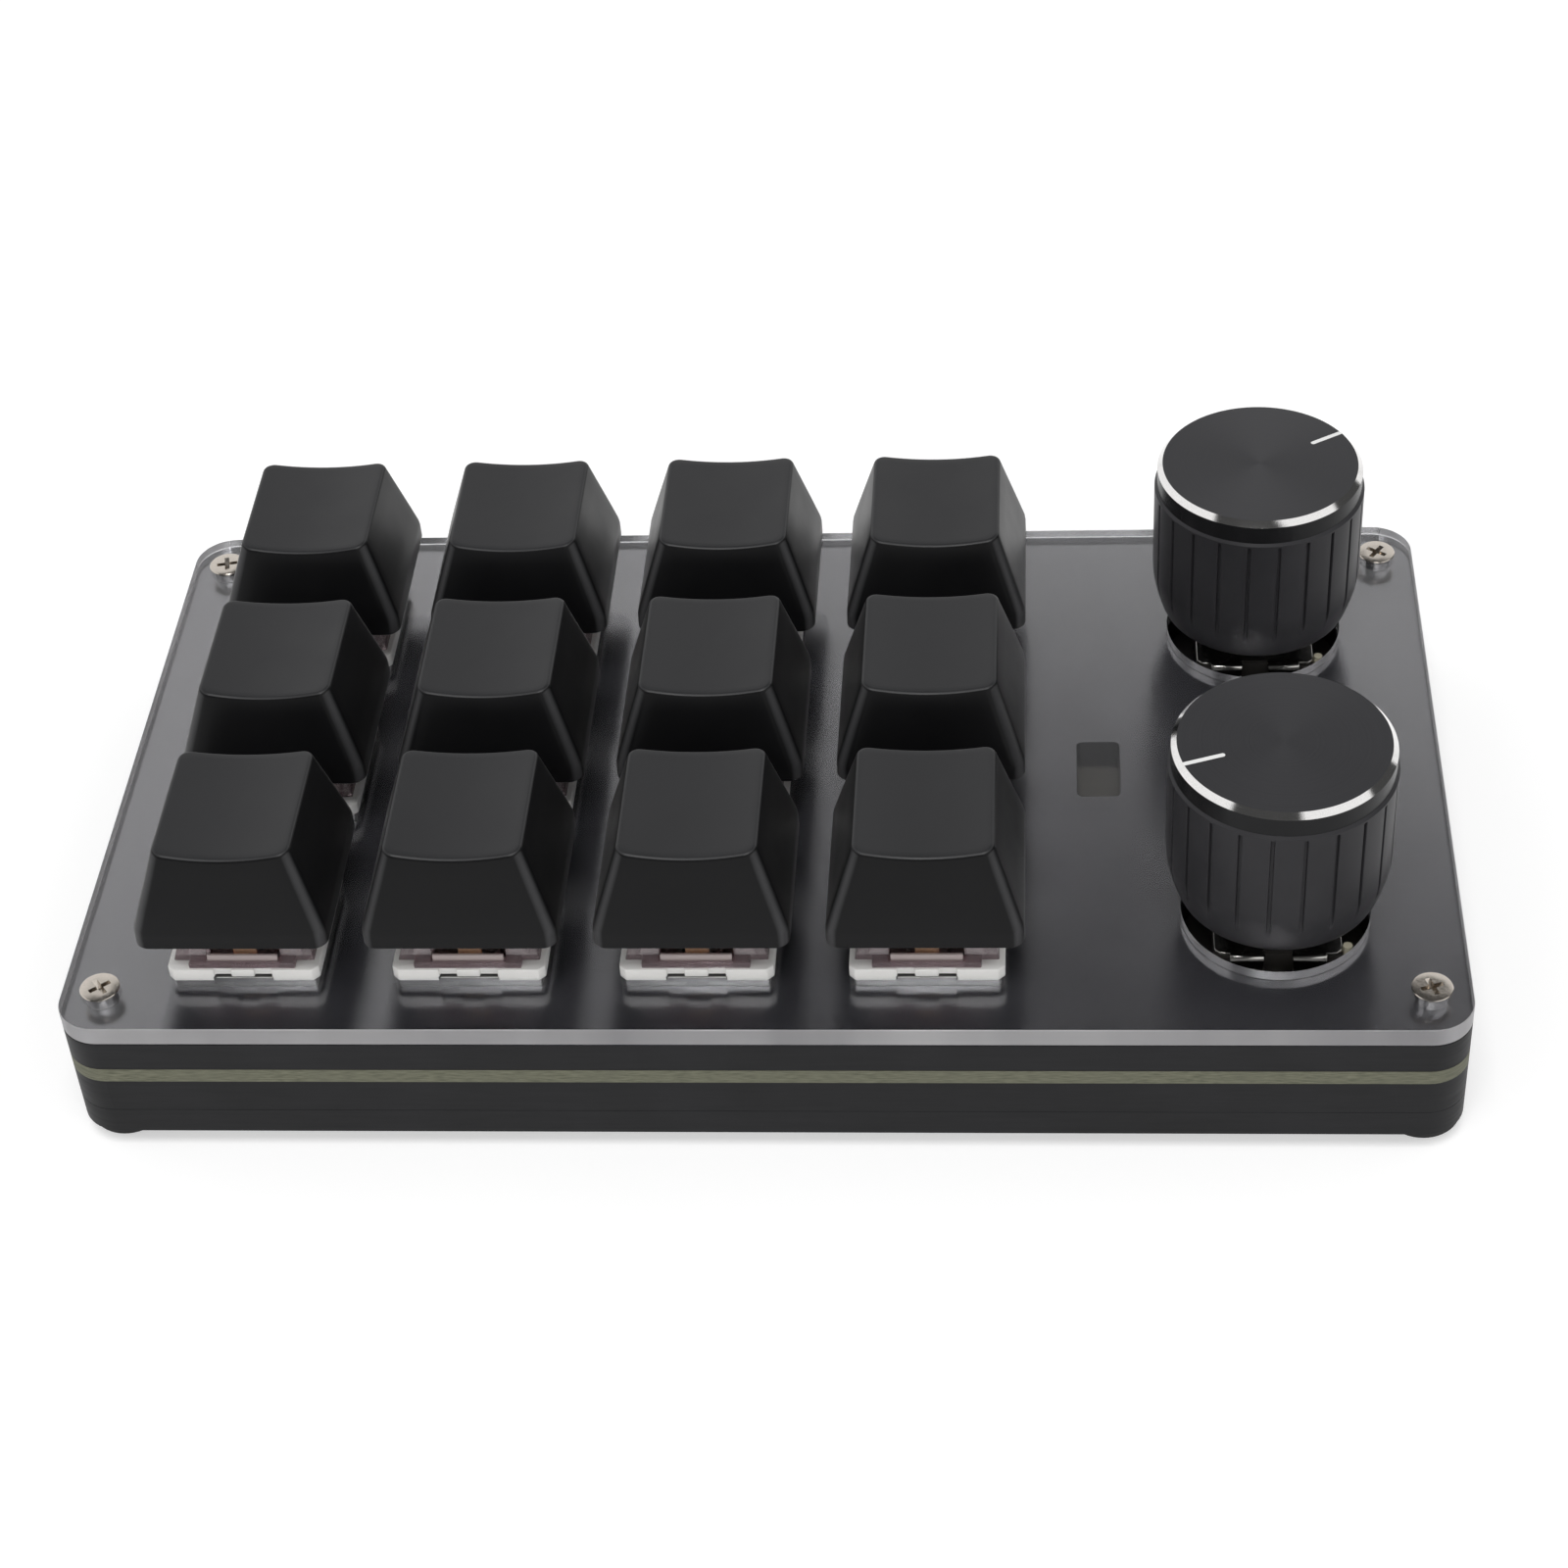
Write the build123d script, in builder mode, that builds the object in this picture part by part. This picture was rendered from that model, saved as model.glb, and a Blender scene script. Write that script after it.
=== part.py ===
from build123d import *
import os
from math import cos, pi, radians, sin

os.makedirs("parts", exist_ok=True)

# Macro keypad: twelve mechanical keys and two push knobs on a five-layer case.
# Millimetres. X runs along the width, +Y to the back, +Z up.
# The origin is under the middle of the case, on the plane that the feet stand on.

# ---------------------------------------------------------------- case layers
case_width = 130.9
case_depth = 75.3
corner_radius = 4.0
small_round_sides = 8

foot_height = 2.2
bottom_plate_thickness = 3.0
lower_frame_thickness = 3.8
board_thickness = 1.6
switch_plate_thickness = 3.3
cover_thickness = 2.0
frame_wall = 4.0
frame_inner_radius = 2.0
frame_boss_radius = 3.7

bottom_plate_z = foot_height
lower_frame_z = bottom_plate_z + bottom_plate_thickness
board_z = lower_frame_z + lower_frame_thickness
board_top = board_z + board_thickness
cover_z = board_top + switch_plate_thickness
cover_top = cover_z + cover_thickness

# ---------------------------------------------------------------- key grid
row_names = ["front", "middle", "rear"]
columns = 4
key_pitch_x = 21.35
key_pitch_y = 23.1
left_key_margin = 17.2
front_key_margin = 13.65

first_key_x = left_key_margin - case_width / 2
first_key_y = front_key_margin - case_depth / 2
key_sites = {
    f"{row_name}_{column + 1}": (first_key_x + column * key_pitch_x, first_key_y + row * key_pitch_y)
    for row, row_name in enumerate(row_names)
    for column in range(columns)
}
last_key_x = first_key_x + (columns - 1) * key_pitch_x

# ---------------------------------------------------------------- knob places
knob_margin = 17.25
knob_pitch = 42.54
knob_x = case_width / 2 - knob_margin
knob_sites = {"front": (knob_x, -knob_pitch / 2), "rear": (knob_x, knob_pitch / 2)}
knob_hole_radius = 8.83

# ---------------------------------------------------------------- fasteners and feet
screw_edge_x = 3.75
screw_edge_y = 5.1
screw_radius = 1.0
screw_length = 14.0
screw_head_radius = 1.9
screw_head_rim = 0.15
screw_recess_width = 0.5
screw_recess_length = 2.0
screw_recess_depth = 0.75
cover_screw_hole_radius = 1.5
screw_clearance = 0.1
thread_clearance = 0.02
nut_across_flats = 4.0
nut_height = 1.6
nut_clearance = 0.05
foot_radius = 3.7
foot_bevel = 0.4
seat_gap = 0.01

screw_x = case_width / 2 - screw_edge_x
screw_y = case_depth / 2 - screw_edge_y
screw_sites = [(x, y) for x in (-screw_x, screw_x) for y in (-screw_y, screw_y)]
screw_hole_radius = screw_radius + screw_clearance

# ---------------------------------------------------------------- key switch
flange_width = 14.4
flange_height = 1.35
flange_corner_bevel = 0.6
switch_body_width = 13.4
switch_hole_clearance = 0.1
switch_body_straight = 2.6
switch_body_base_width = 12.6
housing_floor = 1.2
housing_cavity = 10.8
notch_width = 5.5
notch_height = 0.5
notch_depth = 1.2
notch_block_width = 2.2
notch_recess = 0.35
tongue_width = 6.7
tongue_front = 6.4
tongue_thickness = 0.35
tongue_height = 2.5
peg_radius = 1.95
peg_length = 3.2
peg_clearance = 0.05
pole_radius = 0.8
pole_clearance = 0.3
pole_bore_depth = 1.4

upper_base_width = 13.4
upper_base_depth = 11.8
upper_top_width = 10.4
upper_top_depth = 9.6
upper_height = 5.25
upper_roof = 1.2
upper_wall = 1.3
lip_width = 10.1
lip_front = 7.0
lip_height = 0.6
window_width = 6.9
window_top = 3.6
sill_thickness = 0.45

key_travel = 4.0
stem_width = 7.0
stem_neck_depth = 5.5
stem_body_depth = 7.0
stem_guide_clearance = 0.2
stem_shoulder_gap = 0.1
stem_floor_gap = 0.7
cross_length = 4.1
cross_bar = 1.3
cross_post = 1.17
cross_height = 3.6
spring_pocket_width = 5.0
spring_pocket_roof = 3.4
pole_length = 4.7

spring_radius = 2.05
spring_wire = 0.26
spring_turns = 4
spring_steps_per_turn = 6
spring_end_gap = 0.05

leaf_width = 2.2
leaf_thickness = 0.3
leaf_height = 8.2
contact_foot_height = 0.5
contact_pin_width = 0.9
contact_pin_length = 3.3
leaf_pin_x = -2.54
leaf_pin_y = -5.0
plate_pin_x = 3.81
plate_pin_y = -2.54
fixed_contact_height = 3.6
contact_spacing = 0.7
contact_slot_clearance = 0.06
pin_slot_clearance = 0.15

seat_z = cover_top
flange_top = seat_z + flange_height
housing_floor_z = board_top + housing_floor
upper_top = flange_top + upper_height
upper_inner_top = upper_top - upper_roof
stem_shoulder_z = upper_inner_top - stem_shoulder_gap
stem_bottom_z = housing_floor_z + key_travel + stem_floor_gap
spring_seat_z = upper_top - spring_pocket_roof
pole_tip_z = spring_seat_z - pole_length
pole_bore_floor_z = board_top - pole_bore_depth
switch_hole_width = switch_body_width + 2 * switch_hole_clearance
window_front = lip_front - sill_thickness
contact_pin_bottom = board_top - contact_pin_length

# ---------------------------------------------------------------- keycap
cap_width = 18.1
cap_corner_radius = 1.4
cap_skirt_gap = 5.8
cap_band_height = 1.8
cap_height = 9.65
cap_top_width = 12.8
cap_top_depth = 14.75
cap_top_shift = 0.875
cap_dish_depth = 0.65
cap_wall = 1.4
cap_roof = 1.5
cap_inner_top_margin = 1.1
cap_post_radius = 2.7
cap_post_gap = 0.3
cap_socket_clearance = 0.03
cap_socket_extra_depth = 0.1
cap_rib_thickness = 0.8
cap_rib_height = 2.0

cap_bottom_z = seat_z + cap_skirt_gap
cap_top_z = cap_bottom_z + cap_height
cap_ceiling_z = cap_top_z - cap_dish_depth - cap_roof
cap_dish_radius = ((cap_top_width / 2) ** 2 + cap_dish_depth ** 2) / (2 * cap_dish_depth)

# ---------------------------------------------------------------- rotary encoder
encoder_height = 4.7
encoder_width = 11.8
encoder_depth = 12.6
encoder_sheet = 0.35
encoder_notch_width = 2.7
encoder_notch_depth = 0.95
encoder_tab_depth = 0.5
encoder_claw_width = 3.1
encoder_claw_length = 2.9
encoder_bend_radius = 0.6
encoder_corner_bevel = 0.5
encoder_base_height = 2.1
encoder_base_floor = 0.5
encoder_fit_gap = 0.1
encoder_peg_radius = 0.45
encoder_peg_gap = 0.05
encoder_peg_y = -4.9
encoder_peg_rise = 4.9
bushing_radius = 3.5
bushing_height = 5.0
shaft_radius = 3.0
shaft_length = 15.0
shaft_running_gap = 0.05
shaft_flat_length = 8.0
shaft_flat_width = 4.5
shaft_key_radius = 2.4
shaft_key_width = 3.4
shaft_key_gap = 0.06
shaft_shoulder_drop = 0.1
shaft_tip_radius = 1.1
shaft_tip_length = 0.5
rotor_radius = 5.0
rotor_height = 1.3
rotor_notches = 20
rotor_notch_depth = 0.5
rotor_base_gap = 0.1
rotor_side_gap = 0.3
dome_radius = 2.5
dome_flat_height = 0.1
dome_slope = 60
dome_foot_width = 0.25
dome_sheet = 0.12
dome_gap = 0.05
push_travel = 0.5
terminal_width = 0.8
terminal_thickness = 0.3
terminal_reach = 1.4
terminal_pitch = 2.5
terminal_length = 3.5

encoder_peg_x = encoder_width / 2 + encoder_peg_gap + encoder_peg_radius
encoder_top = board_top + encoder_height
encoder_sheet_z = encoder_top - encoder_sheet
encoder_bend_y = encoder_depth / 2 - encoder_bend_radius
encoder_base_top = board_top + encoder_base_height
dome_height = push_travel + dome_flat_height
encoder_inner_depth = encoder_depth - 2 * encoder_sheet - 2 * encoder_fit_gap
rotor_z = encoder_base_top + rotor_base_gap
dome_z = board_top + encoder_base_floor
shaft_tip_z = dome_z + dome_height + dome_gap
shaft_shoulder_z = encoder_sheet_z - shaft_shoulder_drop
shaft_top = encoder_top + shaft_length
terminal_z = board_top + 0.9
terminal_y = encoder_inner_depth / 2 + terminal_reach
terminal_sites = [(i * terminal_pitch, -1) for i in (-1, 0, 1)] + [(i * terminal_pitch, 1) for i in (-1, 1)]

# ---------------------------------------------------------------- knob
knob_top_gap = 20.37
knob_skirt_gap = 3.0
knob_face_radius = 9.65
knob_band_radius = 10.15
knob_chamfer_height = 0.55
knob_band_height = 1.9
knob_shoulder = 0.2
knob_body_radius = 10.4
knob_taper_height = 5.0
knob_runout_height = 3.1
knob_skirt_radius = 9.2
knob_flutes = 22
knob_flute_width = 0.35
knob_flute_depth = 0.3
knob_flute_head = 0.25
knob_recess_radius = 6.5
knob_recess_depth = 4.0
knob_bore_clearance = 0.02
knob_bore_end_gap = 0.5
pointer_width = 0.5
pointer_depth = 0.25
pointer_start = 5.8
pointer_angles = {"front": 199.0, "rear": 31.0}

knob_top = seat_z + knob_top_gap
knob_bottom = seat_z + knob_skirt_gap
knob_band_bottom = knob_top - knob_chamfer_height - knob_band_height
knob_flute_bottom_radius = knob_body_radius - knob_flute_depth

# ---------------------------------------------------------------- board parts
usb_x = 0.0
usb_width = 8.94
usb_height = 3.2
usb_length = 7.35
usb_corner_radius = 1.1
usb_shell = 0.3
usb_back = 1.2
usb_setback = 0.3
usb_notch_clearance = 0.25
usb_tongue_width = 6.7
usb_tongue_thickness = 0.7
usb_tongue_length = 4.6
usb_insert_gap = 0.05
chip_size = 5.0
chip_height = 0.85
chip_y = -12.0
chip_dimple_radius = 0.3
chip_dimple_inset = 0.8
chip_dimple_depth = 0.15
sight_slot_width = 4.25
sight_slot_depth = 8.2
sight_slot_y = -0.4
sight_slot_radius = 0.6

middle_gap_x = (last_key_x + knob_x) / 2
usb_mouth_y = case_depth / 2 - usb_setback
usb_z = board_z - usb_height / 2


def save(piece, name):
    """Label a finished piece and write it as its own STEP file."""
    piece.part.label = name
    export_step(piece.part, f"parts/{name}.step")


def save_at(shape, place, name):
    """Write one copy of a shape, moved to its place on the case."""
    with BuildPart() as copy:
        with Locations(place):
            add(shape)
    save(copy, name)


def save_group(shape, places, name):
    """Write copies of a shape at several places as one node of separate solids."""
    with BuildPart() as group:
        with Locations(*places):
            add(shape)
    save(group, name)


def case_outline():
    """Draw the rounded rectangle that every layer of the case shares."""
    RectangleRounded(case_width, case_depth, corner_radius)


def small_round(radius, **options):
    """Draw a small hidden round as an octagon, which keeps the twelve switches light."""
    RegularPolygon(radius, small_round_sides, **options)


def span(width, middle=0):
    """The (low, high) limits of a width about its middle."""
    return middle - width / 2, middle + width / 2


def tapered_box(foot_x, foot_y, top_x, top_y, foot_z, top_z):
    """Make a box with four leaning sides from the (low, high) limits of its foot and its top."""
    with BuildPart() as box:
        front = [(foot_x[0], foot_z), (foot_x[1], foot_z), (top_x[1], top_z), (top_x[0], top_z)]
        with BuildSketch(Plane.XZ):
            Polygon(*front, align=None)
        extrude(amount=foot_y[1] - foot_y[0], both=True)
        side = [(foot_y[0], foot_z), (foot_y[1], foot_z), (top_y[1], top_z), (top_y[0], top_z)]
        with BuildSketch(Plane.YZ):
            Polygon(*side, align=None)
        extrude(amount=foot_x[1] - foot_x[0], both=True, mode=Mode.INTERSECT)
    return box.part


def pin_slot(width, depth):
    """Cut a slot through the board for a flat pin of the given section."""
    Rectangle(width + 2 * pin_slot_clearance, depth + 2 * pin_slot_clearance, mode=Mode.SUBTRACT)


def d_section(radius, flat_width):
    """Draw a circle with one flat, flat_width across from the flat to the far side."""
    Circle(radius)
    with Locations((0, flat_width / 2 - radius)):
        Rectangle(2 * radius, flat_width, mode=Mode.INTERSECT)


def key_section(radius, width):
    """Draw a circle with two flats, width apart."""
    Circle(radius)
    Rectangle(2 * radius, width, mode=Mode.INTERSECT)


# ================================================================ case layers
with BuildPart() as cover_plate:
    with BuildSketch(Plane.XY.offset(cover_z)):
        case_outline()
        with Locations(*key_sites.values()):
            Rectangle(switch_hole_width, switch_hole_width, mode=Mode.SUBTRACT)
        with Locations(*knob_sites.values()):
            Circle(knob_hole_radius, mode=Mode.SUBTRACT)
        with Locations(*screw_sites):
            Circle(cover_screw_hole_radius, mode=Mode.SUBTRACT)
    extrude(amount=cover_thickness)
save(cover_plate, "cover_plate")

with BuildPart() as switch_plate:
    with BuildSketch(Plane.XY.offset(board_top)):
        case_outline()
        with Locations(*key_sites.values()):
            Rectangle(switch_hole_width, switch_hole_width, mode=Mode.SUBTRACT)
        with Locations(*knob_sites.values()):
            Circle(knob_hole_radius, mode=Mode.SUBTRACT)
        with Locations((middle_gap_x, sight_slot_y)):
            RectangleRounded(sight_slot_width, sight_slot_depth, sight_slot_radius, mode=Mode.SUBTRACT)
        with Locations(*screw_sites):
            small_round(screw_hole_radius, major_radius=False, mode=Mode.SUBTRACT)
    extrude(amount=switch_plate_thickness)
save(switch_plate, "switch_plate")

with BuildPart() as circuit_board:
    with BuildSketch(Plane.XY.offset(board_z)):
        case_outline()
        with Locations(*key_sites.values()):
            small_round(peg_radius + peg_clearance, mode=Mode.SUBTRACT)
            with Locations((leaf_pin_x, leaf_pin_y)):
                pin_slot(contact_pin_width, leaf_thickness)
            with Locations((plate_pin_x, plate_pin_y)):
                pin_slot(leaf_thickness, contact_pin_width)
        with Locations(*knob_sites.values()):
            with Locations(*[(x, side * terminal_y) for x, side in terminal_sites]):
                pin_slot(terminal_width, terminal_thickness)
        with Locations(*screw_sites):
            small_round(screw_hole_radius, major_radius=False, mode=Mode.SUBTRACT)
    extrude(amount=board_thickness)
save(circuit_board, "circuit_board")

with BuildPart() as lower_frame:
    with BuildSketch(Plane.XY.offset(lower_frame_z)):
        case_outline()
        inner_width = case_width - 2 * frame_wall
        inner_depth = case_depth - 2 * frame_wall
        RectangleRounded(inner_width, inner_depth, frame_inner_radius, mode=Mode.SUBTRACT)
        with Locations(*screw_sites):
            Circle(frame_boss_radius)
            small_round(screw_hole_radius, major_radius=False, mode=Mode.SUBTRACT)
        with Locations((usb_x, case_depth / 2)):
            Rectangle(usb_width + 2 * usb_notch_clearance, 3 * frame_wall, mode=Mode.SUBTRACT)
    extrude(amount=lower_frame_thickness)
save(lower_frame, "lower_frame")

with BuildPart() as bottom_plate:
    with BuildSketch(Plane.XY.offset(bottom_plate_z)):
        case_outline()
        with Locations(*screw_sites):
            small_round(screw_hole_radius, major_radius=False, mode=Mode.SUBTRACT)
    extrude(amount=bottom_plate_thickness)
    with BuildSketch(Plane.XY.offset(bottom_plate_z)):
        with Locations(*screw_sites):
            RegularPolygon(nut_across_flats / 2 + nut_clearance, 6, major_radius=False)
    extrude(amount=nut_height + nut_clearance, mode=Mode.SUBTRACT)
save(bottom_plate, "bottom_plate")

# ================================================================ fasteners and feet
head_rim_z = cover_top + screw_head_radius - cover_screw_hole_radius + seat_gap
head_top_z = head_rim_z + screw_head_rim

with BuildPart() as screw:
    with BuildSketch(Plane.XZ):
        with BuildLine():
            Polyline(
                (0, head_top_z - screw_length),
                (screw_radius, head_top_z - screw_length),
                (screw_radius, head_rim_z - screw_head_radius + screw_radius),
                (screw_head_radius, head_rim_z),
                (screw_head_radius, head_top_z),
                (0, head_top_z),
                close=True,
            )
        make_face()
    revolve(axis=Axis.Z)
    with BuildSketch(Plane.XY.offset(head_top_z)):
        Rectangle(screw_recess_length, screw_recess_width)
        Rectangle(screw_recess_width, screw_recess_length)
    extrude(amount=-screw_recess_depth, mode=Mode.SUBTRACT)
save_group(screw.part, screw_sites, "corner_screws")

with BuildPart() as nut:
    with BuildSketch(Plane.XY.offset(bottom_plate_z)):
        RegularPolygon(nut_across_flats / 2, 6, major_radius=False)
        small_round(screw_radius + thread_clearance, major_radius=False, mode=Mode.SUBTRACT)
    extrude(amount=nut_height)
save_group(nut.part, screw_sites, "corner_nuts")

with BuildPart() as foot:
    with BuildSketch(Plane.XY):
        Circle(foot_radius)
    extrude(amount=foot_height)
    chamfer(foot.edges().group_by(Axis.Z)[0], foot_bevel)
save_group(foot.part, screw_sites, "rubber_feet")

# ================================================================ key switch
with BuildPart() as lower_housing:
    with BuildSketch(Plane.XY.offset(seat_z)):
        flange = Rectangle(flange_width, flange_width)
        chamfer(flange.vertices(), flange_corner_bevel)
    extrude(amount=flange_height)
    with BuildSketch(Plane.XY.offset(seat_z)):
        Rectangle(switch_body_width, switch_body_width)
    extrude(amount=-switch_body_straight)
    with BuildSketch(Plane.XY.offset(seat_z - switch_body_straight)):
        Rectangle(switch_body_width, switch_body_width)
    with BuildSketch(Plane.XY.offset(board_top)):
        Rectangle(switch_body_base_width, switch_body_base_width)
    loft(ruled=True)
    # Open box for the slider.
    with BuildSketch(Plane.XY.offset(housing_floor_z)):
        Rectangle(housing_cavity, housing_cavity)
    extrude(amount=flange_top - housing_floor_z, mode=Mode.SUBTRACT)
    # Locating peg through the board, bored for the pole.
    with BuildSketch(Plane.XY.offset(board_top)):
        small_round(peg_radius)
    extrude(amount=-peg_length)
    with BuildSketch(Plane.XY.offset(pole_bore_floor_z)):
        small_round(pole_radius + pole_clearance)
    extrude(amount=seat_z - pole_bore_floor_z, mode=Mode.SUBTRACT)
    # Puller notches in the flange at front and rear, each with a block left in its middle.
    with BuildSketch(Plane.XY.offset(seat_z)):
        with Locations((0, -flange_width / 2), (0, flange_width / 2)):
            Rectangle(notch_width, 2 * notch_depth)
    extrude(amount=notch_height, mode=Mode.SUBTRACT)
    with BuildSketch(Plane.XY.offset(seat_z)):
        with Locations((0, -flange_width / 2), (0, flange_width / 2)):
            Rectangle(notch_width, 2 * notch_recess)
            Rectangle(notch_block_width, 2 * notch_recess, mode=Mode.SUBTRACT)
    extrude(amount=flange_height, mode=Mode.SUBTRACT)
    # Wall that stands up behind the window and backs the contacts.
    with BuildSketch(Plane.XY.offset(flange_top)):
        with Locations((0, tongue_thickness / 2 - tongue_front)):
            Rectangle(tongue_width, tongue_thickness)
    extrude(amount=tongue_height - flange_height)
    # Slots in the floor for the two contact pins.
    with BuildSketch(Plane.XY.offset(board_top)):
        slot_margin = 2 * contact_slot_clearance
        with Locations((leaf_pin_x, leaf_pin_y)):
            Rectangle(contact_pin_width + slot_margin, leaf_thickness + slot_margin)
        with Locations((plate_pin_x, plate_pin_y)):
            Rectangle(leaf_thickness + slot_margin, contact_pin_width + slot_margin)
    extrude(amount=housing_floor, mode=Mode.SUBTRACT)
save_group(lower_housing.part, key_sites.values(), "switch_lower_housings")

upper_shell = tapered_box(
    span(upper_base_width),
    span(upper_base_depth),
    span(upper_top_width),
    span(upper_top_depth),
    flange_top,
    upper_top,
)
upper_hollow = tapered_box(
    span(upper_base_width - 2 * upper_wall),
    span(upper_base_depth - 2 * upper_wall),
    span(upper_top_width - upper_wall),
    span(upper_top_depth - upper_wall),
    flange_top,
    upper_inner_top,
)
with BuildPart() as upper_housing:
    add(upper_shell)
    with BuildSketch(Plane.XY.offset(flange_top)):
        Rectangle(lip_width, 2 * lip_front)
    extrude(amount=lip_height)
    add(upper_hollow, mode=Mode.SUBTRACT)
    # Window over the contacts: it leaves a sill along the front of the lip.
    with BuildSketch(Plane.XY.offset(flange_top)):
        with Locations((0, -window_front / 2)):
            Rectangle(window_width, window_front)
    extrude(amount=window_top, mode=Mode.SUBTRACT)
    # Guide opening for the stem.
    with BuildSketch(Plane.XY.offset(upper_inner_top)):
        Rectangle(stem_width + 2 * stem_guide_clearance, stem_neck_depth + 2 * stem_guide_clearance)
    extrude(amount=upper_roof, mode=Mode.SUBTRACT)
save_group(upper_housing.part, key_sites.values(), "switch_upper_housings")

# Each contact is one stamped strip with its pin: a sprung leaf at the front and a fixed plate behind it.
foot_bottom = housing_floor_z
leaf_top = foot_bottom + leaf_height

with BuildPart() as leaf_contact:
    with BuildSketch(Plane.XZ.offset(-leaf_pin_y - leaf_thickness / 2)):
        with BuildLine():
            Polyline(
                (leaf_pin_x - contact_pin_width / 2, contact_pin_bottom),
                (leaf_pin_x + contact_pin_width / 2, contact_pin_bottom),
                (leaf_pin_x + contact_pin_width / 2, foot_bottom),
                (leaf_width / 2, foot_bottom),
                (leaf_width / 2, leaf_top),
                (-leaf_width / 2, leaf_top),
                (-leaf_width / 2, foot_bottom + contact_foot_height),
                (leaf_pin_x - contact_pin_width / 2, foot_bottom + contact_foot_height),
                close=True,
            )
        make_face()
    extrude(amount=leaf_thickness)

fixed_strip_y = leaf_pin_y + contact_spacing
with BuildPart() as fixed_contact:
    with BuildSketch(Plane.XY.offset(foot_bottom)):
        with BuildLine():
            Polyline(
                (plate_pin_x + leaf_thickness / 2, plate_pin_y + contact_pin_width / 2),
                (plate_pin_x - leaf_thickness / 2, plate_pin_y + contact_pin_width / 2),
                (plate_pin_x - leaf_thickness / 2, fixed_strip_y + leaf_thickness / 2),
                (-leaf_width / 2, fixed_strip_y + leaf_thickness / 2),
                (-leaf_width / 2, fixed_strip_y - leaf_thickness / 2),
                (plate_pin_x + leaf_thickness / 2, fixed_strip_y - leaf_thickness / 2),
                close=True,
            )
        make_face()
    extrude(amount=fixed_contact_height)
    with BuildSketch(Plane.XY.offset(contact_pin_bottom)):
        with Locations((plate_pin_x, plate_pin_y)):
            Rectangle(leaf_thickness, contact_pin_width)
    extrude(amount=foot_bottom - contact_pin_bottom)

with BuildPart() as contact_pair:
    add(leaf_contact.part)
    add(fixed_contact.part)
save_group(contact_pair.part, key_sites.values(), "switch_contacts")

with BuildPart() as stem:
    with BuildSketch(Plane.XY.offset(upper_top)):
        Rectangle(cross_length, cross_bar)
        Rectangle(cross_post, cross_length)
    extrude(amount=cross_height)
    with BuildSketch(Plane.XY.offset(stem_shoulder_z)):
        Rectangle(stem_width, stem_neck_depth)
    extrude(amount=upper_top - stem_shoulder_z)
    with BuildSketch(Plane.XY.offset(stem_bottom_z)):
        Rectangle(stem_width, stem_body_depth)
    extrude(amount=stem_shoulder_z - stem_bottom_z)
    with BuildSketch(Plane.XY.offset(stem_bottom_z)):
        Rectangle(spring_pocket_width, spring_pocket_width)
    extrude(amount=spring_seat_z - stem_bottom_z, mode=Mode.SUBTRACT)
    with BuildSketch(Plane.XY.offset(pole_tip_z)):
        small_round(pole_radius)
    extrude(amount=pole_length)

# The return spring stands on the housing floor round the pole's bore and pushes up into the stem.
spring_bottom_z = housing_floor_z + spring_end_gap + spring_wire / 2
spring_top_z = spring_seat_z - spring_end_gap - spring_wire / 2
spring_rise = spring_top_z - spring_bottom_z
spring_steps = spring_turns * spring_steps_per_turn


def spring_point(step):
    """A point of the coil's centre line, a given number of steps above its foot."""
    turn = 2 * pi * step / spring_steps_per_turn
    height = spring_bottom_z + spring_rise * step / spring_steps
    return Vector(spring_radius * cos(turn), spring_radius * sin(turn), height)


with BuildPart() as spring:
    with BuildLine() as coil:
        Polyline(*[spring_point(step) for step in range(spring_steps + 1)])
    with BuildSketch(Plane(origin=coil.line @ 0, z_dir=coil.line % 0)):
        Rectangle(spring_wire, spring_wire)
    sweep(path=coil.line, transition=Transition.RIGHT)

# ================================================================ keycap
cap_top_x = span(cap_top_width)
cap_top_y = span(cap_top_depth, cap_top_shift)
flank_stretch = cap_height / (cap_height - cap_band_height)


def flank_foot(top_edges):
    """Where the leaning flanks would meet the skirt's foot if no straight band cut them off."""
    low, high = span(cap_width)
    return (
        top_edges[0] + (low - top_edges[0]) * flank_stretch,
        top_edges[1] + (high - top_edges[1]) * flank_stretch,
    )


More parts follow.
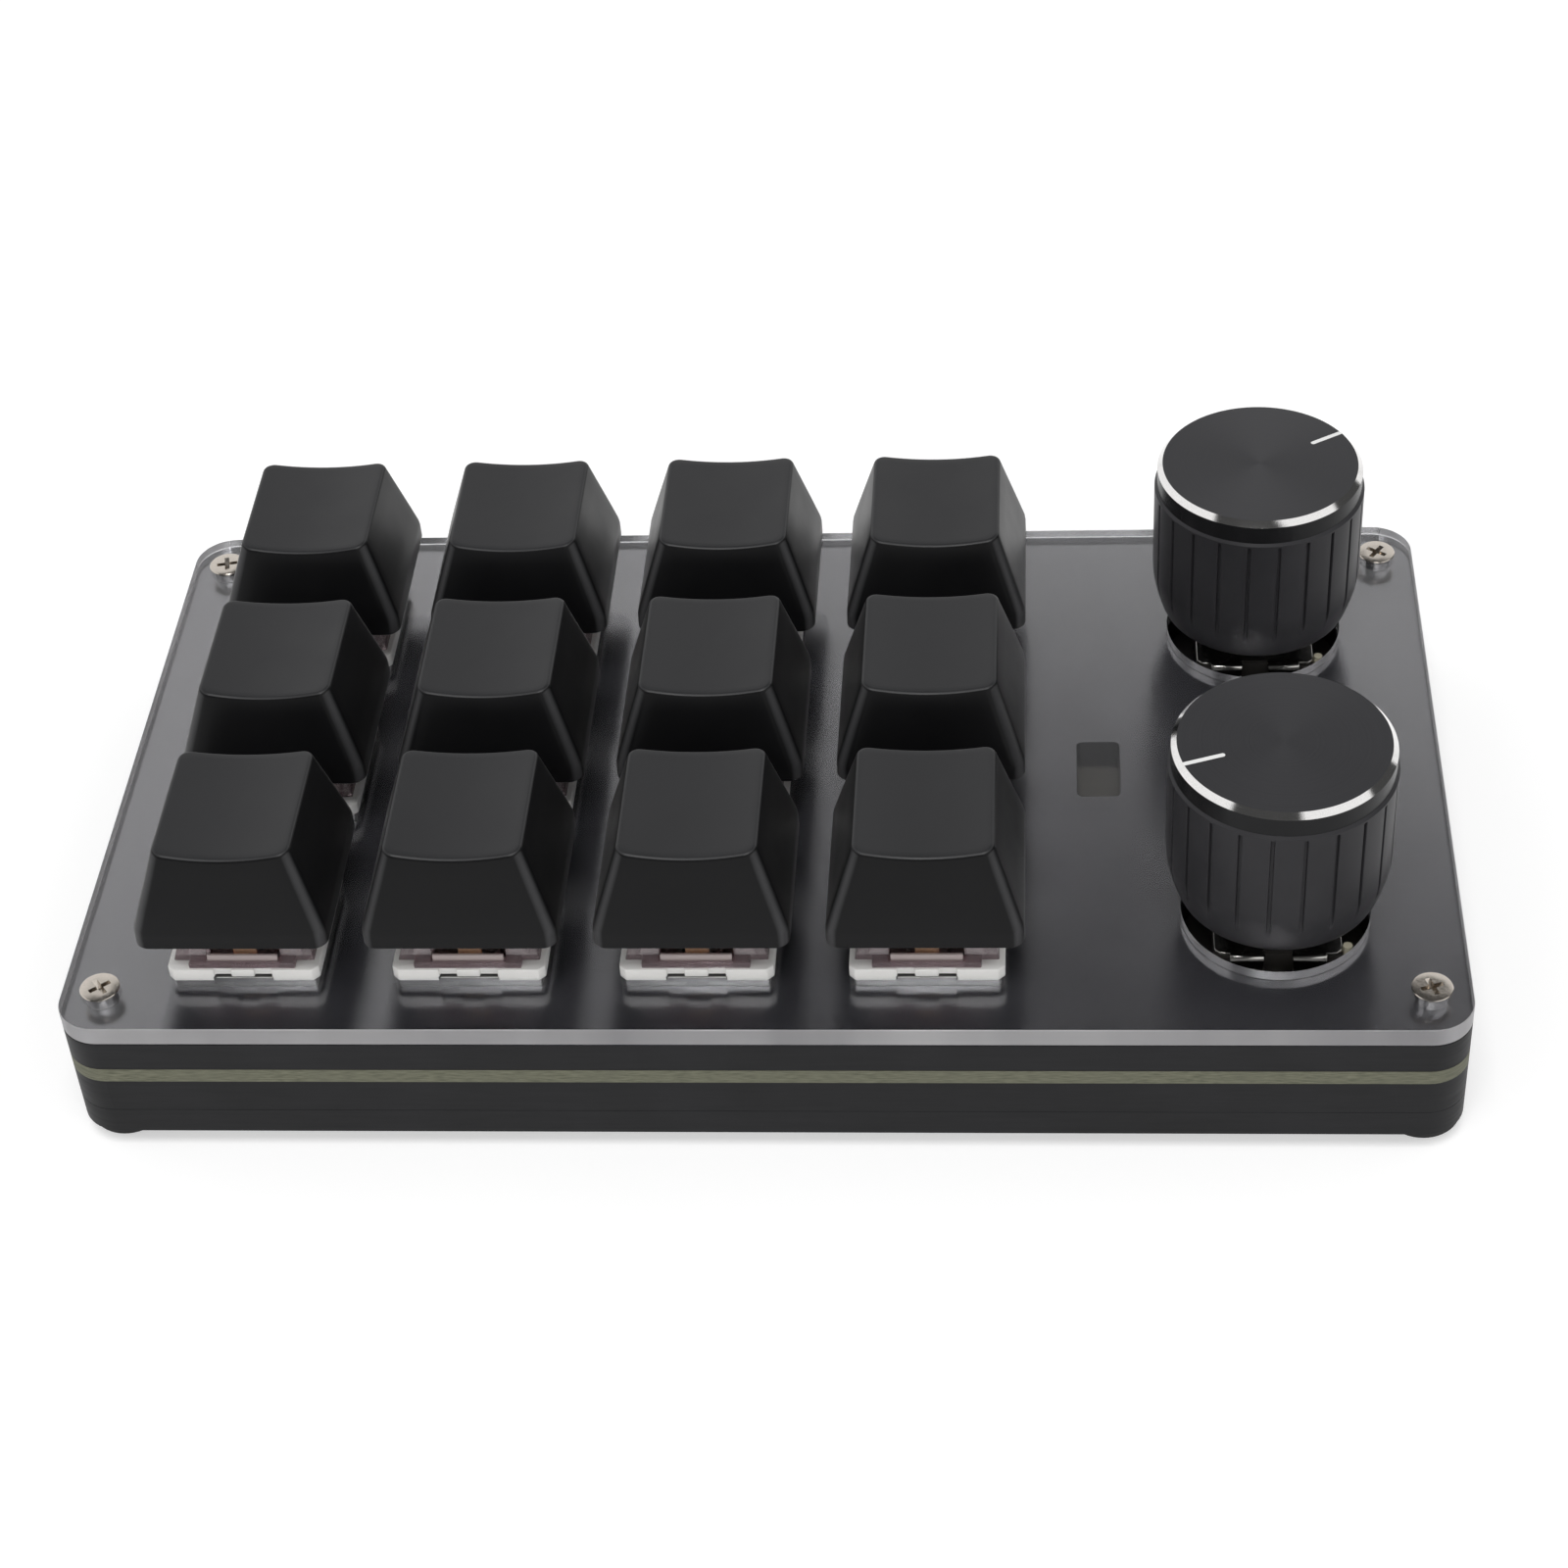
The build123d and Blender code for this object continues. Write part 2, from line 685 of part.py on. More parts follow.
cap_flanks = tapered_box(
    flank_foot(cap_top_x), flank_foot(cap_top_y), cap_top_x, cap_top_y, cap_bottom_z, cap_top_z
)
cap_hollow = tapered_box(
    span(cap_width - 2 * cap_wall),
    span(cap_width - 2 * cap_wall),
    span(cap_top_width - 2 * cap_inner_top_margin),
    span(cap_top_depth - 2 * cap_inner_top_margin, cap_top_shift),
    cap_bottom_z,
    cap_ceiling_z,
)
with BuildPart() as keycap:
    add(cap_flanks)
    corner_edges = keycap.edges().filter_by(lambda edge: abs(edge.tangent_at(0.5).Z) > 0.5)
    fillet(corner_edges, cap_corner_radius)
    # Straight band round the skirt.
    with BuildSketch(Plane.XY.offset(cap_bottom_z)):
        RectangleRounded(cap_width, cap_width, cap_corner_radius)
    extrude(amount=cap_height, mode=Mode.INTERSECT)
    # Dished top: a shallow cylinder that runs from front to back.
    with BuildSketch(Plane.XZ):
        with Locations((0, cap_top_z - cap_dish_depth + cap_dish_radius)):
            Circle(cap_dish_radius)
    extrude(amount=cap_width, both=True, mode=Mode.SUBTRACT)
    add(cap_hollow, mode=Mode.SUBTRACT)
    # Mounting post, two ribs that tie it to the side walls, and its cross-shaped socket.
    with BuildSketch(Plane.XY.offset(upper_top + cap_post_gap)):
        small_round(cap_post_radius)
    extrude(amount=cap_ceiling_z - upper_top - cap_post_gap)
    with BuildSketch(Plane.XY.offset(cap_ceiling_z - cap_rib_height)):
        Rectangle(cap_top_width - cap_inner_top_margin, cap_rib_thickness)
    extrude(amount=cap_rib_height)
    with BuildSketch(Plane.XY.offset(upper_top + cap_post_gap)):
        socket_margin = 2 * cap_socket_clearance
        Rectangle(cross_length + socket_margin, cross_bar + socket_margin)
        Rectangle(cross_post + socket_margin, cross_length + socket_margin)
    extrude(amount=cross_height - cap_post_gap + cap_socket_extra_depth, mode=Mode.SUBTRACT)

for site_name, site in key_sites.items():
    save_at(keycap.part, site, f"keycap_{site_name}")
    save_at(stem.part, site, f"switch_stem_{site_name}")
    save_at(spring.part, site, f"switch_spring_{site_name}")

# ================================================================ rotary encoders
claw_face_y = -encoder_depth / 2
claw_foot_z = encoder_sheet_z - encoder_claw_length
bend_middle = (-encoder_bend_y, encoder_top - encoder_bend_radius)

# Four claws, folded down over the base at front and rear with a rounded bend.
with BuildPart() as encoder_claws:
    with BuildSketch(Plane.YZ.offset(encoder_notch_width / 2)):
        with BuildLine():
            outer_bend = CenterArc(bend_middle, encoder_bend_radius, 90, 90)
            inner_bend = CenterArc(bend_middle, encoder_bend_radius - encoder_sheet, 90, 90)
            Line(outer_bend @ 0, inner_bend @ 0)
            Polyline(
                outer_bend @ 1,
                (claw_face_y, claw_foot_z),
                (claw_face_y + encoder_sheet, claw_foot_z),
                inner_bend @ 1,
            )
        make_face()
    extrude(amount=encoder_claw_width)
    mirror(about=Plane.YZ)
    mirror(about=Plane.XZ)

with BuildPart() as encoder_frame:
    with BuildSketch(Plane.XY.offset(encoder_sheet_z)):
        sheet = Rectangle(encoder_width, 2 * encoder_bend_y)
        chamfer(sheet.vertices(), encoder_corner_bevel)
        with Locations((0, -encoder_depth / 2), (0, encoder_depth / 2)):
            Rectangle(encoder_notch_width, 2 * encoder_notch_depth, mode=Mode.SUBTRACT)
    extrude(amount=encoder_sheet)
    add(encoder_claws.part)
    with BuildSketch(Plane.XY.offset(encoder_top)):
        Circle(bushing_radius)
    extrude(amount=bushing_height)
    with BuildSketch(Plane.XY.offset(encoder_sheet_z)):
        Circle(shaft_radius + shaft_running_gap)
    extrude(amount=encoder_sheet + bushing_height, mode=Mode.SUBTRACT)
save_group(encoder_frame.part, knob_sites.values(), "encoder_frames")

with BuildPart() as encoder_base:
    with BuildSketch(Plane.XY.offset(board_top)):
        Rectangle(encoder_width, encoder_inner_depth)
        with Locations((encoder_width / 2, encoder_peg_y)):
            Rectangle(2 * (encoder_peg_x - encoder_width / 2), 2 * encoder_peg_radius)
    extrude(amount=encoder_base_height)
    with BuildSketch(Plane.XY.offset(dome_z)):
        small_round(dome_radius + encoder_fit_gap)
    extrude(amount=encoder_base_height, mode=Mode.SUBTRACT)
    # Side walls round the rotor, and the tabs that fill the notches of the frame.
    rotor_room = 2 * (rotor_radius + rotor_side_gap)
    with BuildSketch(Plane.XY.offset(encoder_base_top)):
        Rectangle(encoder_width, encoder_inner_depth)
        Rectangle(rotor_room, rotor_room, mode=Mode.SUBTRACT)
    extrude(amount=encoder_sheet_z - encoder_base_top - encoder_fit_gap)
    with BuildSketch(Plane.XY.offset(encoder_sheet_z - encoder_fit_gap)):
        tab_y = (encoder_inner_depth - encoder_tab_depth) / 2
        with Locations((0, -tab_y), (0, tab_y)):
            Rectangle(encoder_notch_width - 2 * encoder_fit_gap, encoder_tab_depth)
    extrude(amount=encoder_sheet + encoder_fit_gap)
    # Moulding peg beside the frame.
    with BuildSketch(Plane.XY.offset(board_top)):
        with Locations((encoder_peg_x, encoder_peg_y)):
            small_round(encoder_peg_radius)
    extrude(amount=encoder_peg_rise)
save_group(encoder_base.part, knob_sites.values(), "encoder_bases")

with BuildPart() as terminals:
    for x, side in terminal_sites:
        inner_y = side * (encoder_inner_depth / 2 + encoder_fit_gap / 2)
        outer_y = side * (terminal_y + terminal_thickness / 2)
        with BuildSketch(Plane.XY.offset(terminal_z)):
            with Locations((x, (inner_y + outer_y) / 2)):
                Rectangle(terminal_width, abs(outer_y - inner_y))
        extrude(amount=terminal_thickness)
        with BuildSketch(Plane.XY.offset(board_top - terminal_length)):
            with Locations((x, side * terminal_y)):
                Rectangle(terminal_width, terminal_thickness)
        extrude(amount=terminal_z + terminal_thickness - board_top + terminal_length)
save_group(terminals.part, knob_sites.values(), "encoder_terminals")

with BuildPart() as rotor:
    with BuildSketch(Plane.XY.offset(rotor_z)):
        Circle(rotor_radius)
        with PolarLocations(rotor_radius, rotor_notches):
            Rectangle(rotor_notch_depth, rotor_notch_depth, rotation=45, mode=Mode.SUBTRACT)
    extrude(amount=rotor_height)
    with BuildSketch(Plane.XY.offset(rotor_z)):
        key_section(shaft_key_radius + shaft_key_gap, shaft_key_width + 2 * shaft_key_gap)
    extrude(amount=rotor_height, mode=Mode.SUBTRACT)

with BuildPart() as shaft:
    with BuildSketch(Plane.XY.offset(shaft_shoulder_z)):
        Circle(shaft_radius)
    extrude(amount=shaft_top - shaft_flat_length - shaft_shoulder_z)
    with BuildSketch(Plane.XY.offset(shaft_top - shaft_flat_length)):
        d_section(shaft_radius, shaft_flat_width)
    extrude(amount=shaft_flat_length)
    with BuildSketch(Plane.XY.offset(shaft_tip_z + shaft_tip_length)):
        key_section(shaft_key_radius, shaft_key_width)
    extrude(amount=shaft_shoulder_z - shaft_tip_z - shaft_tip_length)
    with BuildSketch(Plane.XY.offset(shaft_tip_z)):
        Circle(shaft_tip_radius)
    extrude(amount=shaft_tip_length)

# Snap dome of the push switch: a thin eight-sided shell with a flat crown.
dome_rise = dome_height - dome_sheet
with BuildPart() as push_dome:
    with BuildSketch(Plane.XY.offset(dome_z)):
        small_round(dome_radius)
    extrude(amount=dome_height, taper=dome_slope)
    with BuildSketch(Plane.XY.offset(dome_z)):
        small_round(dome_radius - dome_foot_width)
    extrude(amount=dome_rise, taper=dome_slope, mode=Mode.SUBTRACT)

# ================================================================ knobs
bore_top = shaft_top + knob_bore_end_gap
bore_bottom = knob_bottom + knob_recess_depth


def knob_body():
    """Turned aluminium knob with its flutes, recess and D bore, but no pointer yet."""
    taper_top = knob_bottom + knob_taper_height
    with BuildPart() as body:
        with BuildSketch(Plane.XZ):
            with BuildLine():
                Polyline(
                    (0, knob_bottom),
                    (0, knob_top),
                    (knob_face_radius, knob_top),
                    (knob_band_radius, knob_top - knob_chamfer_height),
                    (knob_band_radius, knob_band_bottom),
                    (knob_body_radius, knob_band_bottom - knob_shoulder),
                    (knob_body_radius, taper_top),
                    (knob_flute_bottom_radius, knob_bottom + knob_runout_height),
                    (knob_skirt_radius, knob_bottom),
                    (0, knob_bottom),
                )
            make_face()
        revolve(axis=Axis.Z)
        with BuildSketch(Plane.XY.offset(knob_bottom)):
            with PolarLocations(knob_body_radius, knob_flutes):
                Rectangle(2 * knob_flute_depth, knob_flute_width)
        flute_top = knob_band_bottom - knob_shoulder - knob_flute_head
        extrude(amount=flute_top - knob_bottom, mode=Mode.SUBTRACT)
        with BuildSketch(Plane.XY.offset(knob_bottom)):
            Circle(knob_recess_radius)
        extrude(amount=knob_recess_depth, mode=Mode.SUBTRACT)
        with BuildSketch(Plane.XY.offset(bore_bottom)):
            d_section(shaft_radius + knob_bore_clearance, shaft_flat_width + 2 * knob_bore_clearance)
        extrude(amount=bore_top - bore_bottom, mode=Mode.SUBTRACT)
    return body.part


plain_knob = knob_body()
for side_name, site in knob_sites.items():
    save_at(rotor.part, site, f"encoder_rotor_{side_name}")
    save_at(shaft.part, site, f"encoder_shaft_{side_name}")
    save_at(push_dome.part, site, f"encoder_push_dome_{side_name}")
    with BuildPart() as knob:
        with Locations(site):
            add(plain_knob)
        pointer_length = knob_body_radius - pointer_start
        pointer_middle = (knob_body_radius + pointer_start) / 2
        with BuildSketch(Plane.XY.offset(knob_top)):
            with Locations(site):
                with PolarLocations(pointer_middle, 1, start_angle=pointer_angles[side_name]):
                    Rectangle(pointer_length, pointer_width)
        extrude(amount=-pointer_depth, mode=Mode.SUBTRACT)
    save(knob, f"knob_{side_name}")

# ================================================================ board parts
with BuildPart() as usb_receptacle:
    mouth = Plane(origin=(usb_x, usb_mouth_y, usb_z), x_dir=(1, 0, 0), z_dir=(0, -1, 0))
    with BuildSketch(mouth):
        RectangleRounded(usb_width, usb_height, usb_corner_radius)
    extrude(amount=usb_length)
    with BuildSketch(mouth):
        shell_margin = 2 * usb_shell
        inner_radius = usb_corner_radius - usb_shell
        RectangleRounded(usb_width - shell_margin, usb_height - shell_margin, inner_radius)
    extrude(amount=usb_length, mode=Mode.SUBTRACT)
    # Insulator that closes the back, with the contact tongue on it.
    with BuildSketch(mouth.offset(usb_length - usb_back)):
        insert_margin = 2 * (usb_shell + usb_insert_gap)
        RectangleRounded(usb_width - insert_margin, usb_height - insert_margin, inner_radius - usb_insert_gap)
    extrude(amount=usb_back)
    with BuildSketch(mouth.offset(usb_length - usb_back - usb_tongue_length)):
        Rectangle(usb_tongue_width, usb_tongue_thickness)
    extrude(amount=usb_tongue_length)
save(usb_receptacle, "usb_receptacle")

with BuildPart() as controller_chip:
    with BuildSketch(Plane.XY.offset(board_z)):
        with Locations((middle_gap_x, chip_y)):
            Rectangle(chip_size, chip_size)
    extrude(amount=-chip_height)
    with BuildSketch(Plane.XY.offset(board_z - chip_height)):
        dimple_shift = chip_size / 2 - chip_dimple_inset
        with Locations((middle_gap_x - dimple_shift, chip_y + dimple_shift)):
            Circle(chip_dimple_radius)
    extrude(amount=chip_dimple_depth, mode=Mode.SUBTRACT)
save(controller_chip, "controller_chip")
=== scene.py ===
from math import cos, pi, radians, sin, sqrt

import bmesh
import bpy
from mathutils import Matrix, Vector


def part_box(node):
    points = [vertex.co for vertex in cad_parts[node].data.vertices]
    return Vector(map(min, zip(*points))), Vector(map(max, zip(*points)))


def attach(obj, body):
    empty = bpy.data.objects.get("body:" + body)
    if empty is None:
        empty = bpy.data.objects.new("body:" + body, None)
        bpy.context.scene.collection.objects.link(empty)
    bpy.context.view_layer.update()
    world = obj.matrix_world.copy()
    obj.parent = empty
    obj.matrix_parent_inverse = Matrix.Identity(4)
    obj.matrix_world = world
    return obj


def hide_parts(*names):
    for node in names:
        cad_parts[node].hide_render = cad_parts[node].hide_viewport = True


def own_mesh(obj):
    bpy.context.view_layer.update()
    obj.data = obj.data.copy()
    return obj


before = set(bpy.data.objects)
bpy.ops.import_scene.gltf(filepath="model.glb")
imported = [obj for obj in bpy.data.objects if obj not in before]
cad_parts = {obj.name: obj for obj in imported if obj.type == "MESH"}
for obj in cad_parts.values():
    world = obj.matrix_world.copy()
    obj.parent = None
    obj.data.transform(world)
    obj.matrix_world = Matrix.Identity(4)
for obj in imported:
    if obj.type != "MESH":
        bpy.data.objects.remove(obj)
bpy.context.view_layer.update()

# Shapes are drawn in millimetres and scaled to metres when a piece is made.
MM = 0.001
# In copies of CAD nodes, vertices this near are joined and edges that bend more than this are eased.
WELD_DISTANCE = 0.002
SHARP_ANGLE = radians(30)
# Least radius of an inset corner.
LEAST_CORNER = 0.02
scene = bpy.context.scene

ROWS = ["front", "middle", "rear"]
COLUMNS = [1, 2, 3, 4]
SIDES = ["front", "rear"]
KEYS = [f"{row}_{column}" for row in ROWS for column in COLUMNS]


def limits(node):
    """The lowest and highest corners of a CAD node, in millimetres."""
    low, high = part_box(node)
    return low / MM, high / MM


def middle(node):
    """The middle of a CAD node's box, in millimetres."""
    low, high = limits(node)
    return (low + high) / 2


# ---------------------------------------------------------------- places, from the frame
key_sites = {key: middle(f"keycap_{key}") for key in KEYS}
knob_sites = {side: middle(f"encoder_shaft_{side}") for side in SIDES}
case_low, case_high = limits("cover_plate")
CASE_WIDTH = case_high.x - case_low.x
CASE_DEPTH = case_high.y - case_low.y
COVER_TOP = case_high.z
screw_high = limits("corner_screws")[1]
SCREW_HEAD_RADIUS = 1.9
SCREW_X = screw_high.x - SCREW_HEAD_RADIUS
SCREW_Y = screw_high.y - SCREW_HEAD_RADIUS
screw_sites = [(x, y) for x in (-SCREW_X, SCREW_X) for y in (-SCREW_Y, SCREW_Y)]


# ================================================================ mesh tools
def outline(half_x, half_y, radius, middle_x=0.0, middle_y=0.0, corner_steps=8, side_steps=1):
    """Points round a rectangle with round corners, anticlockwise from its right side."""
    points = []
    corners = [(1, 1, 0), (-1, 1, 90), (-1, -1, 180), (1, -1, 270)]
    for index, (side_x, side_y, start) in enumerate(corners):
        centre_x = middle_x + side_x * (half_x - radius)
        centre_y = middle_y + side_y * (half_y - radius)
        for step in range(corner_steps + 1):
            angle = radians(start + 90 * step / corner_steps)
            points.append((centre_x + radius * cos(angle), centre_y + radius * sin(angle)))
        next_x, next_y, next_start = corners[(index + 1) % 4]
        end = (
            middle_x + next_x * (half_x - radius) + radius * cos(radians(next_start)),
            middle_y + next_y * (half_y - radius) + radius * sin(radians(next_start)),
        )
        begin = points[-1]
        for step in range(1, side_steps):
            share = step / side_steps
            points.append((begin[0] + share * (end[0] - begin[0]), begin[1] + share * (end[1] - begin[1])))
    return points


def circle(radius, steps=48, middle_x=0.0, middle_y=0.0):
    """Points round a circle."""
    angles = [2 * pi * step / steps for step in range(steps)]
    return [(middle_x + radius * cos(a), middle_y + radius * sin(a)) for a in angles]


def ring(bm, points, heights):
    """Vertices at some flat points, at one height or at a height for each."""
    if not hasattr(heights, "__len__"):
        heights = [heights] * len(points)
    return [bm.verts.new((x, y, z)) for (x, y), z in zip(points, heights)]


def bridge(bm, lower, upper, material=0, flip=False):
    """A band of quads between two rings with the same number of vertices."""
    count = len(lower)
    for i in range(count):
        corners = [lower[i], lower[(i + 1) % count], upper[(i + 1) % count], upper[i]]
        face = bm.faces.new(corners[::-1] if flip else corners)
        face.material_index = material


def skin(bm, rings, material=0, flip=False):
    """Bands between each ring and the next."""
    for lower, upper in zip(rings, rings[1:]):
        bridge(bm, lower, upper, material, flip)


def fan(bm, edge, centre, material=0, flip=False):
    """Triangles from a ring to one point in its middle."""
    tip = bm.verts.new(centre)
    count = len(edge)
    for i in range(count):
        corners = [edge[i], edge[(i + 1) % count], tip]
        face = bm.faces.new(corners[::-1] if flip else corners)
        face.material_index = material


def fill(bm, rings, up):
    """A flat face inside the first ring with the other rings as its holes."""
    edges = []
    for loop in rings:
        for i, vertex in enumerate(loop):
            other = loop[(i + 1) % len(loop)]
            edges.append(bm.edges.get((vertex, other)) or bm.edges.new((vertex, other)))
    made = bmesh.ops.triangle_fill(bm, use_beauty=True, use_dissolve=False, edges=edges)
    for face in made["geom"]:
        if isinstance(face, bmesh.types.BMFace):
            face.material_index = 0
            face.normal_update()
            if (face.normal.z > 0) != up:
                face.normal_flip()


def box(bm, low, high):
    """A block between two corners."""
    x, y = [low[0], high[0]], [low[1], high[1]]
    foot = ring(bm, [(x[0], y[0]), (x[1], y[0]), (x[1], y[1]), (x[0], y[1])], low[2])
    top = ring(bm, [(v.co.x, v.co.y) for v in foot], high[2])
    bridge(bm, foot, top)
    bm.faces.new(foot[::-1])
    bm.faces.new(top)


def plate(bm, low_z, high_z, loops, edge, hole_edge=None, hole_material=1):
    """A sheet with eased edges. Each loop gives its points for an inset: the outer one, then the holes.

    The faces take material 0 and the outer cut edge takes material 1. The holes may have an ease and a
    material of their own.
    """
    stacks = []
    for index, loop in enumerate(loops):
        ease = edge if index == 0 or hole_edge is None else hole_edge
        sign = 1 if index == 0 else -1
        levels = [(low_z, ease), (low_z + ease, 0.0), (high_z - ease, 0.0), (high_z, ease)]
        rings = [ring(bm, loop(sign * inset), z) for z, inset in levels]
        skin(bm, rings, hole_material if index else 1, flip=index > 0)
        stacks.append(rings)
    fill(bm, [rings[0] for rings in stacks], up=False)
    fill(bm, [rings[-1] for rings in stacks], up=True)


def rounded_loop(width, depth, radius, site=(0.0, 0.0), corner_steps=8):
    """A loop for plate(): a rectangle with round corners."""

    def loop(inset):
        corner = max(radius - inset, LEAST_CORNER)
        return outline(width / 2 - inset, depth / 2 - inset, corner, site[0], site[1], corner_steps)

    return loop


def round_loop(radius, site=(0.0, 0.0), steps=48):
    """A loop for plate(): a circle."""
    return lambda inset: circle(radius - inset, steps, site[0], site[1])


def piece(name, bm, materials, body, replaces=(), crease=30.0):
    """Turn drawn millimetres into a named piece that rides on a body."""
    bmesh.ops.scale(bm, vec=(MM, MM, MM), verts=bm.verts)
    mesh = bpy.data.meshes.new(name)
    bm.to_mesh(mesh)
    bm.free()
    mesh.shade_smooth()
    mesh.set_sharp_from_angle(angle=radians(crease))
    made = bpy.data.objects.new(name, mesh)
    scene.collection.objects.link(made)
    for material in materials:
        mesh.materials.append(material)
    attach(made, body)
    if replaces:
        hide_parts(*replaces)
    return made


def cad_copy(node):
    """The CAD node's mesh in millimetres."""
    bm = bmesh.new()
    bm.from_mesh(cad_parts[node].data)
    bmesh.ops.scale(bm, vec=(1 / MM, 1 / MM, 1 / MM), verts=bm.verts)
    for face in bm.faces:
        face.material_index = 0
    return bm


def eased_copy(node, width, above):
    """The CAD node's shape in millimetres, with its sharp edges above a height rounded off."""
    bm = cad_copy(node)
    bmesh.ops.remove_doubles(bm, verts=bm.verts, dist=WELD_DISTANCE)
    bmesh.ops.dissolve_limit(bm, angle_limit=radians(1), verts=bm.verts, edges=bm.edges)
    sharp = [
        edge
        for edge in bm.edges
        if len(edge.link_faces) == 2
        and edge.calc_face_angle() > SHARP_ANGLE
        and min(v.co.z for v in edge.verts) > above
    ]
    bmesh.ops.bevel(bm, geom=sharp, offset=width, segments=2, profile=0.5, affect="EDGES")
    return bm


# ================================================================ material tools
def node_material(name):
    """An empty node material with its Principled shader."""
    material = bpy.data.materials.new(name)
    material.use_nodes = True
    tree = material.node_tree
    return material, tree, tree.nodes["Principled BSDF"]


def feed(tree, socket, value):
    """Link another node's output to a socket, or set a plain number, vector or colour of three numbers."""
    if hasattr(value, "node"):
        tree.links.new(value, socket)
    else:
        socket.default_value = (*value, 1.0) if socket.type == "RGBA" else value


def set_sockets(shader, **sockets):
    """Feed a shader's sockets by their names, with _ for a space."""
    for name, value in sockets.items():
        feed(shader.id_data, shader.inputs[name.replace("_", " ")], value)


def place_of(tree):
    """Object coordinates, which stay with the piece when it moves."""
    return tree.nodes.new("ShaderNodeTexCoord").outputs["Object"]


def normal_of(tree):
    """The direction that the surface faces."""
    return tree.nodes.new("ShaderNodeNewGeometry").outputs["Normal"]


def axes_of(tree, vector):
    """A vector's X, Y and Z."""
    split = tree.nodes.new("ShaderNodeSeparateXYZ")
    tree.links.new(vector, split.inputs["Vector"])
    return split.outputs


def calculate(tree, operation, *values):
    """A Math node's result for plain numbers or other nodes' outputs."""
    node = tree.nodes.new("ShaderNodeMath")
    node.operation = operation
    for socket, value in zip(node.inputs, values):
        feed(tree, socket, value)
    return node.outputs["Value"]


def vector_math(tree, operation, *vectors):
    """A Vector Math node's outputs for plain vectors or other nodes' outputs."""
    node = tree.nodes.new("ShaderNodeVectorMath")
    node.operation = operation
    for socket, vector in zip(node.inputs, vectors):
        feed(tree, socket, vector)
    return node.outputs


def noise(tree, vector, size_mm, detail=3.0, stretch=(1.0, 1.0, 1.0)):
    """Noise with features of about the given size."""
    scale = tree.nodes.new("ShaderNodeMapping")
    scale.inputs["Scale"].default_value = [s / (size_mm * MM) for s in stretch]
    tree.links.new(vector, scale.inputs["Vector"])
    texture = tree.nodes.new("ShaderNodeTexNoise")
    texture.inputs["Scale"].default_value = 1.0
    texture.inputs["Detail"].default_value = detail
    tree.links.new(scale.outputs["Vector"], texture.inputs["Vector"])
    return texture.outputs["Fac"]


def spread(tree, value, low, high, from_low=0.3, from_high=0.7, smooth=False):
    """Map a value to a range, from the range where noise mostly lies or from another one."""
    node = tree.nodes.new("ShaderNodeMapRange")
    if smooth:
        node.interpolation_type = "SMOOTHSTEP"
    node.inputs["From Min"].default_value = from_low
    node.inputs["From Max"].default_value = from_high
    node.inputs["To Min"].default_value = low
    node.inputs["To Max"].default_value = high
    tree.links.new(value, node.inputs["Value"])
    return node.outputs["Result"]


def blend_colors(tree, factor, first, second):
    """Mix two colours, each a colour or another node's output, by a factor."""
    node = tree.nodes.new("ShaderNodeMix")
    node.data_type = "RGBA"
    tree.links.new(factor, node.inputs["Factor"])
    feed(tree, node.inputs[6], first)
    feed(tree, node.inputs[7], second)
    return node.outputs[2]


def relief(tree, shader, height, depth_mm):
    """Raise the surface by a height value times a depth."""
    node = tree.nodes.new("ShaderNodeBump")
    node.inputs["Distance"].default_value = depth_mm * MM
    tree.links.new(height, node.inputs["Height"])
    tree.links.new(node.outputs["Normal"], shader.inputs["Normal"])


def moulded(name, color, roughness, grain_mm=0.12, grain_depth=0.004, mottle=0.12, **sockets):
    """Plastic, paint or metal with a fine grain and a little unevenness of colour and gloss."""
    material, tree, shader = node_material(name)
    place = place_of(tree)
    broad = noise(tree, place, 6.0)
    darker = [c * (1 - mottle) for c in color]
    lighter = [min(1.0, c * (1 + mottle)) for c in color]
    set_sockets(
        shader,
        Base_Color=blend_colors(tree, spread(tree, broad, 0, 1), darker, lighter),
        Roughness=spread(tree, broad, roughness * 0.92, min(1.0, roughness * 1.08)),
        **sockets,
    )
    relief(tree, shader, noise(tree, place, grain_mm, detail=2.0), grain_depth)
    return material


def paint_corner_highlights(material, color):
    """Paint highlights on a piece's upright corners: a paler colour there than on its flat flanks."""
    tree = material.node_tree
    base = tree.nodes["Principled BSDF"].inputs["Base Color"]
    lean = axes_of(tree, normal_of(tree))
    product = calculate(tree, "ABSOLUTE", calculate(tree, "MULTIPLY", lean["X"], lean["Y"]))
    # Painted highlight: where the surface faces diagonally the colour turns paler.
    corner = spread(tree, product, 0, 1, 0.25, 0.46)
    tree.links.new(blend_colors(tree, corner, base.links[0].from_socket, color), base)


# ================================================================ materials
FLANGE_HEIGHT = 1.35
LIP_HEIGHT = 0.6
LIP_TOP = COVER_TOP + FLANGE_HEIGHT + LIP_HEIGHT
# How far above the lip its painted shade fades out.
LIP_SHADE_BLEND = 0.08
# Heights over the cover between which the white plastic fades into painted shade, a pinkish grey for how it
# looks behind the clear plastic.
PAINTED_SHADE_START = 1.42
PAINTED_SHADE_END = 1.6
# How far down from the top the hole walls are painted lit.
BORE_PAINTED_LIGHT_DEPTH = 1.7
ENCODER_HALF_WIDTH = 5.9
# How far out of the encoder's side its peg begins and is in its full colour.
PEG_START = 0.02
PEG_END = 0.06
ACRYLIC_IOR = 1.49
SPUN_LINE = 0.22


